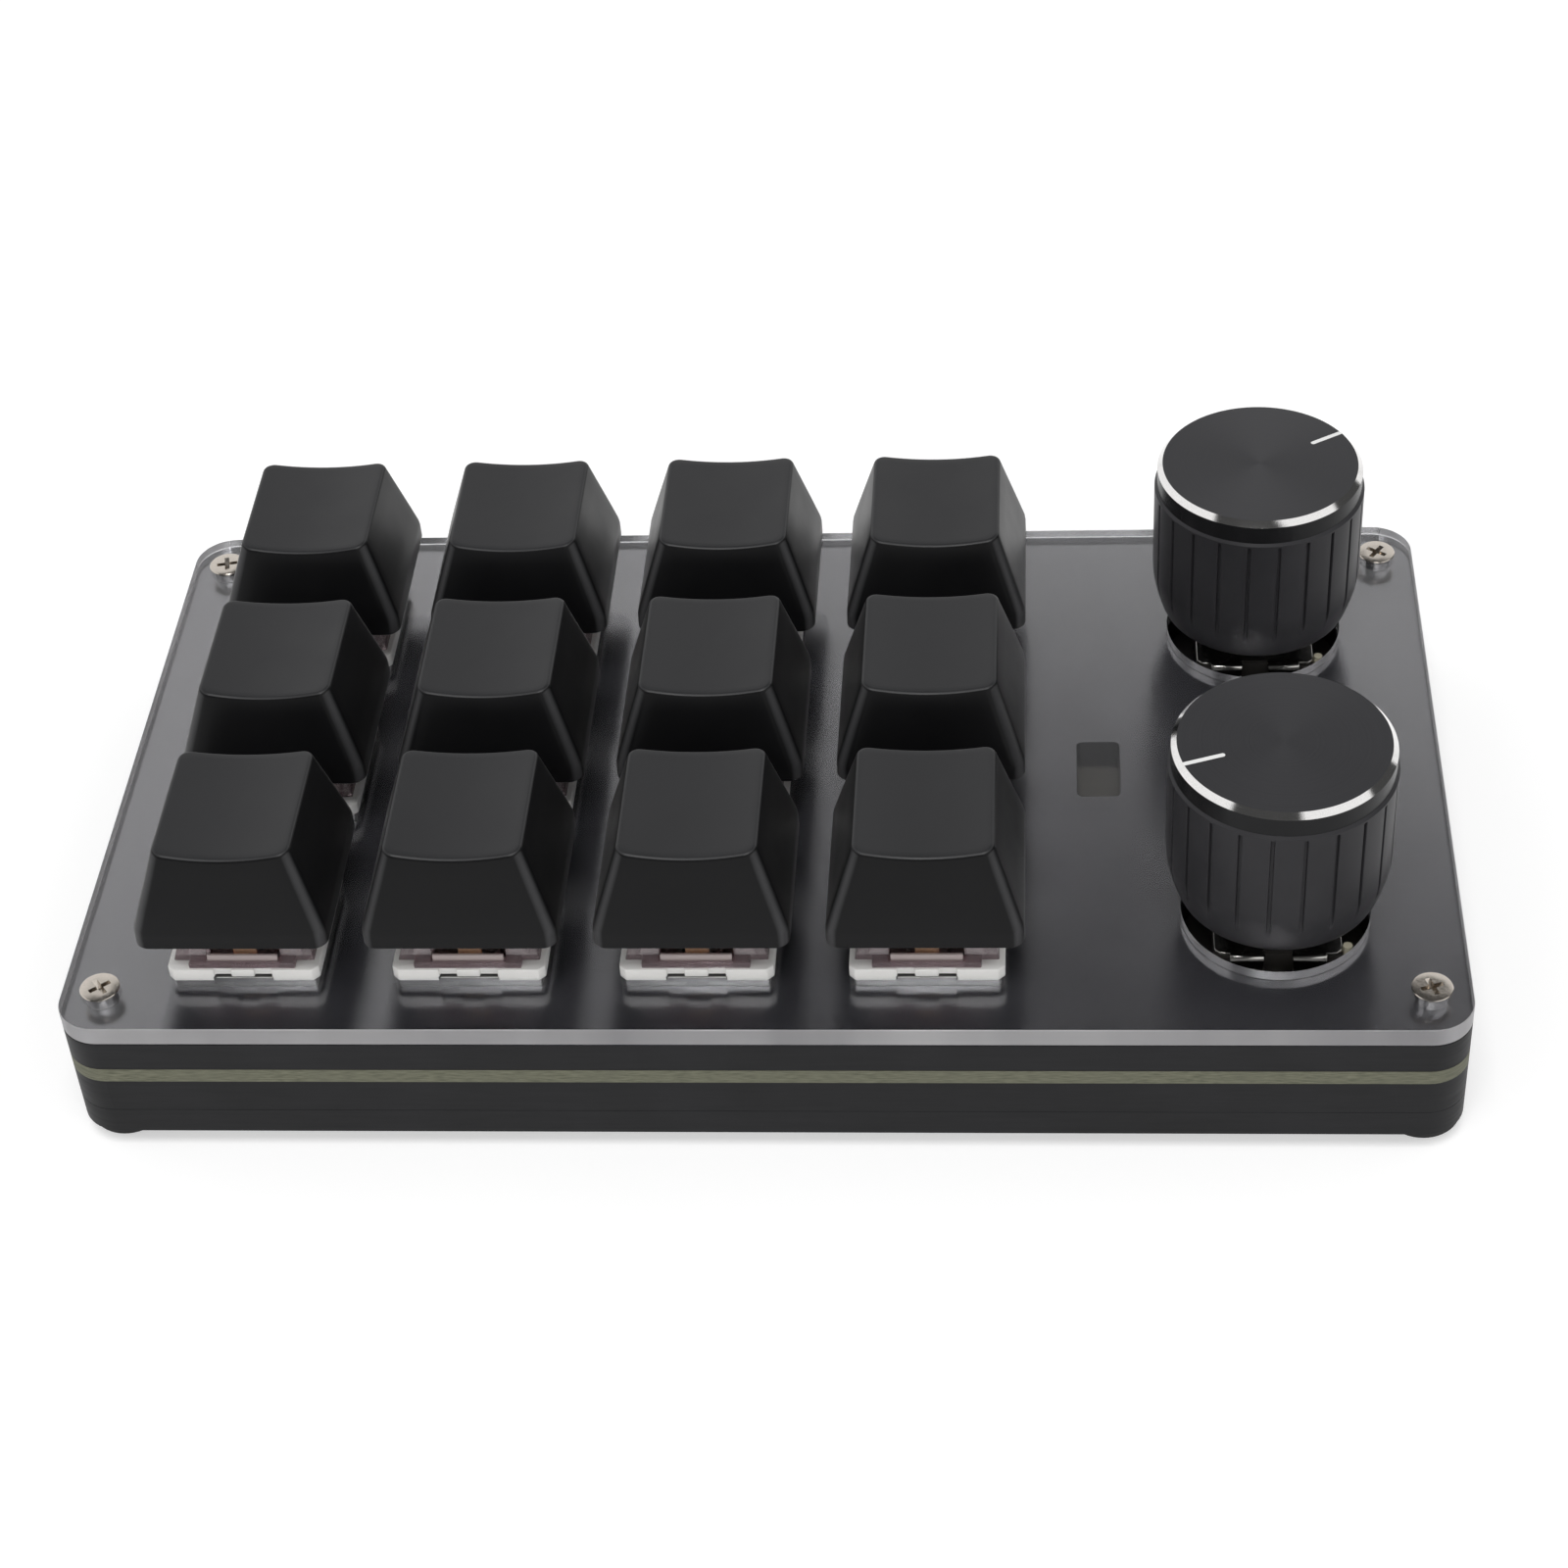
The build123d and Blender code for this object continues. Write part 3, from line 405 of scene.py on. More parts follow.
def let_lamps_through(tree, shader, tint):
    """Make a clear material pass the lamps' light, which would otherwise stop at it."""
    see_through = tree.nodes.new("ShaderNodeBsdfTransparent")
    feed(tree, see_through.inputs["Color"], tint)
    path = tree.nodes.new("ShaderNodeLightPath")
    mix = tree.nodes.new("ShaderNodeMixShader")
    tree.links.new(path.outputs["Is Shadow Ray"], mix.inputs["Fac"])
    tree.links.new(shader.outputs["BSDF"], mix.inputs[1])
    tree.links.new(see_through.outputs["BSDF"], mix.inputs[2])
    tree.links.new(mix.outputs["Shader"], tree.nodes["Material Output"].inputs["Surface"])


def clear_sheet(name, roughness):
    """Clear acrylic of some roughness. Lamps shine through it."""
    material, tree, shader = node_material(name)
    patches = noise(tree, place_of(tree), 8.0)
    set_sockets(
        shader,
        Base_Color=(0.93, 0.925, 0.945),
        Transmission_Weight=1.0,
        IOR=ACRYLIC_IOR,
        Roughness=spread(tree, patches, roughness * 0.88, roughness * 1.12),
    )
    let_lamps_through(tree, shader, (0.9, 0.91, 0.92))
    return material


def clear_edge():
    """The acrylic's sawn edge: rough, half clear, with soft streaks from the blade. Its pale colour is
    painted light, for the light that the sheet carries to its edge.
    """
    material, tree, shader = node_material("clear_edge")
    place = place_of(tree)
    patches = noise(tree, place, 14.0, stretch=(1.0, 1.0, 0.1))
    streaks = noise(tree, place, 0.5, detail=4.0, stretch=(1.0, 1.0, 0.05))
    set_sockets(
        shader,
        # Painted light: a pale colour stands in for the light carried along the sheet.
        Base_Color=blend_colors(tree, spread(tree, patches, 0, 1), (0.52, 0.51, 0.53), (0.8, 0.79, 0.8)),
        Transmission_Weight=0.62,
        IOR=ACRYLIC_IOR,
        Roughness=spread(tree, streaks, 0.3, 0.4),
    )
    relief(tree, shader, streaks, 0.003)
    return material


def clear_bore(name, painted_light_color, clearness, roughness):
    """The acrylic's hole walls, with painted light and shade: dark in colour, and painted lit near the top
    on the walls that face the back.
    """
    material, tree, shader = node_material(name)
    place = place_of(tree)
    rise = spread(tree, axes_of(tree, place)["Z"], 0, 1, (COVER_TOP - BORE_PAINTED_LIGHT_DEPTH) * MM, COVER_TOP * MM)
    facing_back = spread(tree, axes_of(tree, normal_of(tree))["Y"], 0, 1, 0.3, 1.0)
    # Painted light near the top of the walls that face the back, and painted shade below.
    painted_light = calculate(tree, "MULTIPLY", rise, facing_back)
    set_sockets(
        shader,
        Base_Color=blend_colors(tree, painted_light, (0.08, 0.08, 0.08), painted_light_color),
        Transmission_Weight=clearness,
        IOR=ACRYLIC_IOR,
        Roughness=spread(tree, noise(tree, place, 5.0), roughness * 0.92, roughness * 1.08),
    )
    return material


def sheet_edge():
    """Black sheet plastic's cut edge, with the fine lines of the cutter."""
    material, tree, shader = node_material("sheet_edge")
    place = place_of(tree)
    broad = noise(tree, place, 9.0)
    drag = noise(tree, place, 0.3, stretch=(0.06, 0.06, 1.0))
    hue = blend_colors(tree, spread(tree, broad, 0, 1), (0.009, 0.009, 0.0098), (0.0125, 0.0125, 0.014))
    set_sockets(shader, Base_Color=hue, Roughness=spread(tree, drag, 0.45, 0.55), IOR=1.28)
    relief(tree, shader, drag, 0.006)
    return material


def laminate():
    """Circuit board: dark mask on its faces, bare olive glass-epoxy on its cut edge."""
    material, tree, shader = node_material("laminate")
    place = place_of(tree)
    level = calculate(tree, "ABSOLUTE", axes_of(tree, normal_of(tree))["Z"])
    strands = noise(tree, place, 0.25, detail=5.0, stretch=(0.2, 0.2, 1.6))
    patches = noise(tree, place, 5.0)
    bare = blend_colors(tree, spread(tree, strands, 0, 1), (0.076, 0.08, 0.05), (0.185, 0.185, 0.128))
    worn = blend_colors(tree, spread(tree, patches, 0, 0.5), bare, (0.126, 0.128, 0.09))
    set_sockets(
        shader,
        Base_Color=blend_colors(tree, spread(tree, level, 0, 1, 0.6, 0.8), worn, (0.055, 0.052, 0.044)),
        Roughness=spread(tree, level, 0.7, 0.32, 0.6, 0.8),
    )
    relief(tree, shader, strands, 0.02)
    return material


def bright_metal(name, color, roughness, line_mm=0.25, stretch=(1.0, 1.0, 1.0), depth=0.002, metallic=1.0):
    """Plated or machined metal with faint working lines."""
    material, tree, shader = node_material(name)
    lines = noise(tree, place_of(tree), line_mm, detail=4.0, stretch=stretch)
    darker = [c * 0.88 for c in color]
    set_sockets(
        shader,
        Base_Color=blend_colors(tree, spread(tree, lines, 0, 1), darker, color),
        Roughness=spread(tree, lines, roughness * 0.8, roughness * 1.25),
        Metallic=metallic,
    )
    relief(tree, shader, lines, depth)
    return material


def clear_moulding():
    """Clear switch plastic with a faint pink tint, darkened in the lip by painted shade."""
    material, tree, shader = node_material("clear_moulding")
    place = place_of(tree)
    # Painted shade: the lip is a darker pink than the clear plastic above it.
    above_lip_shade = spread(tree, axes_of(tree, place)["Z"], 0, 1, LIP_TOP * MM, (LIP_TOP + LIP_SHADE_BLEND) * MM)
    flow = noise(tree, place, 1.2)
    set_sockets(
        shader,
        Base_Color=blend_colors(tree, above_lip_shade, (0.4, 0.31, 0.33), (0.8, 0.7, 0.715)),
        Transmission_Weight=0.72,
        IOR=1.55,
        Roughness=spread(tree, flow, 0.08, 0.16),
    )
    relief(tree, shader, flow, 0.003)
    let_lamps_through(tree, shader, (0.9, 0.8, 0.82))
    return material


def white_moulding():
    """White switch plastic, with painted shade above the flange: a pinkish grey for how it looks behind the
    clear plastic.
    """
    material, tree, shader = node_material("switch_white")
    place = place_of(tree)
    height = axes_of(tree, place)["Z"]
    above = spread(tree, height, 0, 1, (COVER_TOP + PAINTED_SHADE_START) * MM, (COVER_TOP + PAINTED_SHADE_END) * MM)
    broad = noise(tree, place, 5.0)
    white = blend_colors(tree, spread(tree, broad, 0, 1), (0.88, 0.87, 0.845), (0.91, 0.9, 0.875))
    set_sockets(
        shader,
        # Painted shade: above the flange the white turns pinkish grey.
        Base_Color=blend_colors(tree, above, white, (0.56, 0.48, 0.47)),
        Roughness=spread(tree, broad, 0.38, 0.46),
    )
    relief(tree, shader, noise(tree, place, 0.3), 0.003)
    return material


def encoder_moulding():
    """Black encoder base, with its locating peg in natural plastic."""
    material, tree, shader = node_material("encoder_moulding")
    place = place_of(tree)
    side = (knob_sites["front"].x + ENCODER_HALF_WIDTH) * MM
    on_peg = spread(tree, axes_of(tree, place)["X"], 0, 1, side + PEG_START * MM, side + PEG_END * MM)
    fine = noise(tree, place, 0.25)
    set_sockets(
        shader,
        Base_Color=blend_colors(tree, on_peg, (0.03, 0.028, 0.025), (0.62, 0.58, 0.44)),
        Roughness=spread(tree, fine, 0.4, 0.5),
    )
    relief(tree, shader, fine, 0.004)
    return material


def spun_top(site):
    """Black anodised face, turned in fine rings about the knob's axis."""
    material, tree, shader = node_material("spun_top")
    offset = vector_math(tree, "SUBTRACT", place_of(tree), (site.x * MM, site.y * MM, 0.0))["Vector"]
    flat = vector_math(tree, "MULTIPLY", offset, (1.0, 1.0, 0.0))["Vector"]
    texture = tree.nodes.new("ShaderNodeTexNoise")
    texture.noise_dimensions = "1D"
    texture.inputs["Scale"].default_value = 1 / (SPUN_LINE * MM)
    texture.inputs["Detail"].default_value = 4.0
    tree.links.new(vector_math(tree, "LENGTH", flat)["Value"], texture.inputs["W"])
    rings = texture.outputs["Fac"]
    tangent = tree.nodes.new("ShaderNodeTangent")
    tangent.direction_type = "RADIAL"
    tangent.axis = "Z"
    hue = blend_colors(tree, spread(tree, rings, 0, 1), (0.0235, 0.0235, 0.0265), (0.027, 0.027, 0.0305))
    set_sockets(
        shader,
        Base_Color=hue,
        Roughness=spread(tree, rings, 0.3, 0.35),
        Metallic=0.35,
        Anisotropic=0.6,
        Tangent=tangent.outputs["Tangent"],
    )
    relief(tree, shader, rings, 0.0015)
    return material


# The flanks take a darker colour than the keycap tops: painted shade, as well as their own gloss and grain.
cap_flank_material = moulded(
    "cap_flank",
    (0.0055, 0.0055, 0.006),
    0.36,
    grain_mm=0.16,
    grain_depth=0.0015,
    mottle=0.1,
    IOR=1.25,
    Sheen_Weight=0.05,
    Sheen_Roughness=0.3,
)
# Painted highlights along the keycaps' upright corners.
paint_corner_highlights(cap_flank_material, (0.05, 0.05, 0.052))
cap_top_material = moulded("cap_top", (0.0096, 0.0098, 0.0112), 0.48, 0.14, 0.005, 0.1, IOR=1.48)
cover_material = clear_sheet("clear_sheet", 0.14)
cover_back_material = clear_sheet("clear_back", 0.03)
cover_edge_material = clear_edge()
switch_bore_material = clear_bore("clear_switch_bore", (0.97, 0.95, 0.92), 0.62, 0.33)
knob_bore_material = clear_bore("clear_knob_bore", (0.3, 0.3, 0.3), 0.8, 0.1)
sheet_face_material = moulded("sheet_face", (0.016, 0.016, 0.018), 0.18, 0.4, 0.001, 0.1, IOR=2.5)
sheet_edge_material = sheet_edge()
board_material = laminate()
screw_material = bright_metal("screw_nickel", (0.62, 0.57, 0.51), 0.2)
nut_material = bright_metal("nut_zinc", (0.62, 0.63, 0.62), 0.34)
rubber_material = moulded("foot_rubber", (0.018, 0.018, 0.018), 0.8, 0.25, 0.02)
white_material = white_moulding()
# Painted shade for the flange notches, which are white plastic.
notch_shade_material = moulded("switch_notch_shade", (0.1, 0.1, 0.097), 0.5)
clear_material = clear_moulding()
copper_material = bright_metal("contact_copper", (0.95, 0.66, 0.46), 0.42, metallic=0.35)
stem_material = moulded("stem_plastic", (0.42, 0.09, 0.14), 0.35, 0.3, 0.003)
spring_material = bright_metal("spring_steel", (0.7, 0.69, 0.67), 0.28)
anodised_material = moulded("knob_anodised", (0.03, 0.0295, 0.032), 0.38, 0.1, 0.002, 0.1, IOR=1.22)
# The band is the body's anodised metal, glossier, and darker in colour: painted shade for the dark it
# reflects.
band_material = moulded("knob_band", (0.011, 0.011, 0.0118), 0.25, 0.1, 0.001, 0.1, IOR=1.22)
chamfer_material = bright_metal("knob_chamfer", (0.86, 0.85, 0.84), 0.08, 0.1)
pointer_material = moulded("pointer_paint", (0.8, 0.8, 0.79), 0.45, 0.2, 0.004, 0.03)
plated_material = bright_metal("stamped_plate", (0.62, 0.61, 0.58), 0.16, 0.4, (0.3, 1.0, 1.0), 0.001)
base_material = encoder_moulding()
rotor_material = moulded("rotor_acetal", (0.72, 0.7, 0.62), 0.4)
shaft_material = bright_metal("shaft_aluminium", (0.8, 0.8, 0.81), 0.26, 0.2, (1.0, 1.0, 0.2))
terminal_material = bright_metal("terminal_tin", (0.74, 0.71, 0.62), 0.35)
chip_material = moulded("chip_epoxy", (0.025, 0.025, 0.026), 0.5)


def dress(node, material):
    """Give a CAD node its material."""
    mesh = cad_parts[node].data
    mesh.materials.clear()
    mesh.materials.append(material)


dress("corner_nuts", nut_material)
dress("switch_contacts", copper_material)
dress("usb_receptacle", plated_material)
dress("controller_chip", chip_material)
dress("encoder_bases", base_material)
dress("encoder_terminals", terminal_material)
for key in KEYS:
    dress(f"switch_stem_{key}", stem_material)
for side in SIDES:
    dress(f"encoder_rotor_{side}", rotor_material)
    dress(f"encoder_shaft_{side}", shaft_material)


def pressed_spring(name, node):
    """A spring: a copy of its CAD node in spring steel, riding on the case, with a mesh of its own."""
    made = piece(name, cad_copy(node), [spring_material], "case", [node])
    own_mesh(made)


for key in KEYS:
    pressed_spring(f"return_spring_{key}", f"switch_spring_{key}")
for side in SIDES:
    pressed_spring(f"push_dome_{side}", f"encoder_push_dome_{side}")

# ================================================================ case
CORNER_RADIUS = 4.0
SWITCH_HOLE = 13.6
SWITCH_HOLE_CORNER = 0.3
KNOB_HOLE_RADIUS = 8.83
COVER_SCREW_HOLE_RADIUS = 1.5
SCREW_HOLE_RADIUS = 1.1
SHEET_EDGE = 0.07
COVER_EDGE = 0.08
HOLE_EDGE = 0.02
KNOB_SIDE_X = 30.0
AIR_GAP = 0.03
# The cover's faces this near its rear side are clear, and not frosted.
CLEAR_BACK_DEPTH = 0.2
SIGHT_SLOT = (4.25, 8.2, 0.6)
SIGHT_SLOT_SITE = (32.0, -0.4)


def sheet_loops(screw_hole_radius):
    """The outline and the screw holes of a sheet."""
    screw_holes = [round_loop(screw_hole_radius, site, steps=24) for site in screw_sites]
    return [rounded_loop(CASE_WIDTH, CASE_DEPTH, CORNER_RADIUS, corner_steps=12)] + screw_holes


def layer_loops(screw_hole_radius):
    """The outline of an upper layer with its switch, knob and screw holes."""
    rim, *screw_holes = sheet_loops(screw_hole_radius)
    switch_hole = (SWITCH_HOLE, SWITCH_HOLE, SWITCH_HOLE_CORNER)
    switch_holes = [rounded_loop(*switch_hole, site, corner_steps=3) for site in key_sites.values()]
    knob_holes = [round_loop(KNOB_HOLE_RADIUS, site, steps=96) for site in knob_sites.values()]
    return [rim, *switch_holes, *knob_holes, *screw_holes]


def cover_sheet():
    """Clear cover, on a film of air over the black plate."""
    finishes = [cover_material, cover_edge_material]
    finishes += [switch_bore_material, knob_bore_material, cover_back_material]
    switch_bore, knob_bore, clear_back = 2, 3, 4
    bm = bmesh.new()
    loops = layer_loops(COVER_SCREW_HOLE_RADIUS)
    plate(bm, case_low.z + AIR_GAP, COVER_TOP, loops, COVER_EDGE, HOLE_EDGE, switch_bore)
    for face in bm.faces:
        centre = face.calc_center_median()
        if centre.y > CASE_DEPTH / 2 - CLEAR_BACK_DEPTH:
            face.material_index = clear_back
        elif face.material_index == switch_bore and centre.x > KNOB_SIDE_X:
            face.material_index = knob_bore
    piece("clear_cover", bm, finishes, "case", ["cover_plate"])


def black_sheet(name, node, loops, hole_edge=None):
    """A plate of black sheet plastic."""
    bm = bmesh.new()
    low, high = limits(node)
    plate(bm, low.z, high.z, loops, SHEET_EDGE, hole_edge)
    piece(name, bm, [sheet_face_material, sheet_edge_material], "case", [node])


cover_sheet()
# The upper plate also has the sight slot between the keys and the knobs.
sight_slot = rounded_loop(*SIGHT_SLOT, SIGHT_SLOT_SITE, corner_steps=4)
black_sheet("black_switch_plate", "switch_plate", layer_loops(SCREW_HOLE_RADIUS) + [sight_slot], HOLE_EDGE)
dress("circuit_board", board_material)
dress("lower_frame", sheet_edge_material)
# The nut pockets open under the feet, out of sight, so the bottom plate has only its screw holes.
black_sheet("black_bottom_plate", "bottom_plate", sheet_loops(SCREW_HOLE_RADIUS))

# ================================================================ screws and feet
SCREW_LENGTH = 14.0
SCREW_RADIUS = 1.0
SCREW_STEPS = 40
THREAD_PITCH = 0.4
THREAD_DEPTH = 0.2
THREAD_STEEPNESS = 1.6
LEVELS_PER_TURN = 6
HEAD_RIM = 0.15
HEAD_FACE_INSET = 0.16
# Inset and drop of the two rings that round the head's edge.
HEAD_EDGE = [(0.06, 0.02), (0.0, 0.08)]
CROSS_LENGTH = 2.2
CROSS_WIDTH = 0.5
CROSS_DEPTH = 0.75
# Length and width of the recess's floor, as shares of its mouth.
CROSS_TAPER = (0.5, 0.75)
SCREW_TURNS = [38.0, 12.0, 20.0, 55.0]
FOOT_RADIUS = 3.7
FOOT_EDGE = 0.45
FOOT_EDGE_STEPS = 4
FOOT_STEPS = 48
FOOT_FACE_INSET = 1.0


def cross_points(length, width, site=(0.0, 0.0)):
    """Points round a plus sign, one arm's three and then their quarter turns."""
    a, b = length / 2, width / 2
    points = [(a, -b), (a, b), (b, b)]
    for _ in range(3):
        points += [(-y, x) for x, y in points[-3:]]
    return [(site[0] + x, site[1] + y) for x, y in points]


def draw_screw(bm, site, turn):
    """One countersunk screw with a cross recess and a rolled thread."""
    top = screw_high.z
    rim = top - HEAD_RIM
    cone_foot = rim - SCREW_HEAD_RADIUS + SCREW_RADIUS
    thread_foot = top - SCREW_LENGTH
    profile = [(SCREW_HEAD_RADIUS - inset, top - drop) for inset, drop in HEAD_EDGE]
    profile += [(SCREW_HEAD_RADIUS, rim), (SCREW_RADIUS, cone_foot)]
    rings = [ring(bm, circle(radius, SCREW_STEPS, *site), z) for radius, z in profile]
    turns = (cone_foot - thread_foot) / THREAD_PITCH
    for level in range(1, int(turns * LEVELS_PER_TURN)):
        depth = level * THREAD_PITCH / LEVELS_PER_TURN
        points = []
        for step in range(SCREW_STEPS):
            wave = (level / LEVELS_PER_TURN + step / SCREW_STEPS) % 1.0
            radius = SCREW_RADIUS - THREAD_DEPTH * min(1.0, THREAD_STEEPNESS * abs(2 * wave - 1))
            angle = 2 * pi * step / SCREW_STEPS
            points.append((site[0] + radius * cos(angle), site[1] + radius * sin(angle)))
        rings.append(ring(bm, points, cone_foot - depth))
    skin(bm, rings, flip=True)
    fan(bm, rings[-1], (*site, thread_foot), flip=True)
    face_edge = ring(bm, circle(SCREW_HEAD_RADIUS - HEAD_FACE_INSET, SCREW_STEPS, *site), top)
    bridge(bm, rings[0], face_edge)
    mouth = ring(bm, cross_points(CROSS_LENGTH, CROSS_WIDTH, site), top)
    floor_cross = cross_points(CROSS_LENGTH * CROSS_TAPER[0], CROSS_WIDTH * CROSS_TAPER[1], site)
    floor = ring(bm, floor_cross, top - CROSS_DEPTH)
    fill(bm, [face_edge, mouth], up=True)
    bridge(bm, floor, mouth, flip=True)
    bm.faces.new(floor)
    swing = Matrix.Rotation(turn, 4, "Z")
    centre = Vector((*site, 0.0))
    vertices = [v for loop in rings for v in loop] + face_edge + mouth + floor
    for vertex in vertices:
        vertex.co = centre + swing @ (vertex.co - centre)


def screws():
    """The four corner screws, each turned as it happened to be driven."""
    bm = bmesh.new()
    for site, turn in zip(screw_sites, SCREW_TURNS):
        draw_screw(bm, site, radians(turn))
    bmesh.ops.recalc_face_normals(bm, faces=bm.faces)
    piece("driven_screws", bm, [screw_material], "case", ["corner_screws"])


def feet():
    """Four rubber feet with rounded edges."""
    bm = bmesh.new()
    low, high = limits("rubber_feet")
    profile = [(FOOT_RADIUS - FOOT_FACE_INSET, low.z)]
    for step in range(FOOT_EDGE_STEPS + 1):
        angle = radians(90 * step / FOOT_EDGE_STEPS)
        profile.append((FOOT_RADIUS - FOOT_EDGE * (1 - sin(angle)), low.z + FOOT_EDGE * (1 - cos(angle))))
    profile.append((FOOT_RADIUS, high.z))
    for site in screw_sites:
        rings = [ring(bm, circle(radius, FOOT_STEPS, *site), z) for radius, z in profile]
        skin(bm, rings)
        bm.faces.new(rings[0][::-1])
        bm.faces.new(rings[-1])
    piece("round_feet", bm, [rubber_material], "case", ["rubber_feet"])


screws()
feet()

# ================================================================ switches and encoders
SWITCH_EDGE = 0.1
LOWER_EASED_ABOVE = COVER_TOP - 0.1
FLANGE_HALF = 7.2
NOTCH_HALF = 2.85
NOTCH_HEIGHT = 0.5
NOTCH_REACH = 2.0
# How far past the notch's sides and past its top its faces are looked for.
NOTCH_SLACK = 0.05
NOTCH_TOP_SLACK = 0.02
FRAME_EDGE = 0.06
FRAME_EASED_ABOVE = 10.0


def switch_shells():
    """White lower housings with painted shade in their notches, and clear upper ones, all with moulded
    edges.
    """
    lower = eased_copy("switch_lower_housings", SWITCH_EDGE, LOWER_EASED_ABOVE)
    everything = [*lower.verts, *lower.edges, *lower.faces]
    notch_top = COVER_TOP + NOTCH_HEIGHT
    bmesh.ops.bisect_plane(lower, geom=everything, plane_co=(0.0, 0.0, notch_top), plane_no=(0.0, 0.0, 1.0))
    # The cut leaves its faces in an order that changes from run to run.
    lower.verts.index_update()
    for index, face in enumerate(sorted(lower.faces, key=lambda face: sorted(v.index for v in face.verts))):
        face.index = index
    lower.faces.sort()
    # Painted shade: the faces inside each flange's notch take a dark grey.
    for face in lower.faces:
        centre = face.calc_center_median()
        for site in key_sites.values():
            depth = centre.y - site.y + FLANGE_HALF
            inside = abs(centre.x - site.x) < NOTCH_HALF and -NOTCH_SLACK < depth < NOTCH_REACH
            if inside and COVER_TOP - NOTCH_SLACK < centre.z < notch_top + NOTCH_TOP_SLACK:
                face.material_index = 1
    finishes = [white_material, notch_shade_material]
    piece("white_housings", lower, finishes, "case", ["switch_lower_housings"])
    node = "switch_upper_housings"
    upper = eased_copy(node, SWITCH_EDGE, COVER_TOP)
    bmesh.ops.translate(upper, vec=(0.0, 0.0, AIR_GAP), verts=upper.verts)
    piece("clear_housings", upper, [clear_material], "case", [node])


def stamped_frames():
    """Encoder frames with the soft edges of bent sheet."""
    bm = eased_copy("encoder_frames", FRAME_EDGE, FRAME_EASED_ABOVE)
    piece("stamped_frames", bm, [plated_material], "case", ["encoder_frames"])


switch_shells()
stamped_frames()

# ================================================================ keycaps
CAP_BAND = 1.8
CAP_CORNER = 1.4
CAP_TOP_CORNER = 1.25
CAP_TOP_HALF_X = 6.4
CAP_TOP_HALF_Y = 7.375
CAP_TOP_SHIFT = 0.875
CAP_DISH = 0.65
CAP_EDGE = 0.35
CAP_EDGE_STEPS = 5
CAP_FOOT_EDGE = 0.15
CAP_WALL = 1.4
CAP_ROOF = 1.5
CAP_INNER_MARGIN = 1.1
CAP_INNER_CORNER = 0.6
# Points round each corner and along each side of the keycap's outlines.
CAP_STEPS = (8, 12)
# Height and inset of the rings up the flank. The first two soften its bend.
FLANK_RINGS = [(CAP_BAND - 0.25, 0.02), (CAP_BAND + 0.25, 0.02), (4.0, 0.0), (6.0, 0.0), (7.5, 0.0)]
DISH_SHARES = (0.92, 0.8, 0.62, 0.42, 0.2)
POST_RADIUS = 2.7
POST_GAP = 1.1
SOCKET_LENGTH = 4.16
SOCKET_WIDTH = 1.3
SOCKET_DEPTH = 3.4
RIB_THICKNESS = 0.8
RIB_HEIGHT = 2.0
# How far the post and the ribs run into what they join.
JOIN_OVERLAP = 0.2

cap_low, cap_high = limits("keycap_front_1")
CAP_HALF = (cap_high.x - cap_low.x) / 2
CAP_HEIGHT = cap_high.z - cap_low.z
DISH_RADIUS = (CAP_TOP_HALF_X ** 2 + CAP_DISH ** 2) / (2 * CAP_DISH)


def dish_height(x):
    """Height of the keycap's top at a distance from its middle line."""
    return CAP_HEIGHT - CAP_DISH + DISH_RADIUS - sqrt(DISH_RADIUS ** 2 - x ** 2)


def flank_outline(height, inset=0.0):
    """The keycap's outline at a height on its leaning flanks."""
    share = max(0.0, (height - CAP_BAND) / (CAP_HEIGHT - CAP_BAND))
    half_x = CAP_HALF + share * (CAP_TOP_HALF_X - CAP_HALF)
    half_y = CAP_HALF + share * (CAP_TOP_HALF_Y - CAP_HALF)
    corner = CAP_CORNER + share * (CAP_TOP_CORNER - CAP_CORNER)
    return outline(half_x - inset, half_y - inset, corner - inset, 0.0, share * CAP_TOP_SHIFT, *CAP_STEPS)


def rim_ring(bm, drop, inset):
    """The ring that follows the dished rim, a drop below it and set in from the flank."""
    placed = []
    heights = []
    for index in range(len(flank_outline(CAP_HEIGHT))):
        height = CAP_HEIGHT - drop
        # Place and height depend on each other, and agree after a few rounds.
        for _ in range(3):
            x, y = flank_outline(height, inset)[index]
            height = dish_height(min(abs(x), CAP_TOP_HALF_X)) - drop
        placed.append((x, y))
        heights.append(height)
    return ring(bm, placed, heights)


def draw_hollow(bm, foot):
    """The keycap's inside: its roof, the post with its cross socket and two ribs."""
    ceiling = CAP_HEIGHT - CAP_DISH - CAP_ROOF
    inner_x = CAP_TOP_HALF_X - CAP_INNER_MARGIN
    inner_y = CAP_TOP_HALF_Y - CAP_INNER_MARGIN
    roof = ring(bm, outline(inner_x, inner_y, CAP_INNER_CORNER, 0, CAP_TOP_SHIFT, *CAP_STEPS), ceiling)
    bridge(bm, foot, roof, flip=True)
    bm.faces.new(roof[::-1])
    sunk = ceiling + JOIN_OVERLAP
    post_foot = ring(bm, circle(POST_RADIUS, steps=32), POST_GAP)
    post_top = ring(bm, circle(POST_RADIUS, steps=32), sunk)
    bridge(bm, post_foot, post_top)
    bm.faces.new(post_top)
    socket = cross_points(SOCKET_LENGTH, SOCKET_WIDTH)
    mouth = ring(bm, socket, POST_GAP)
    end = ring(bm, socket, POST_GAP + SOCKET_DEPTH)
    fill(bm, [post_foot, mouth], up=False)
    bridge(bm, mouth, end, flip=True)
    bm.faces.new(end[::-1])
    for side in (-1, 1):
        near, far = sorted((side * (POST_RADIUS - JOIN_OVERLAP), side * (inner_x + JOIN_OVERLAP)))
        box(bm, (near, -RIB_THICKNESS / 2, ceiling - RIB_HEIGHT), (far, RIB_THICKNESS / 2, sunk))


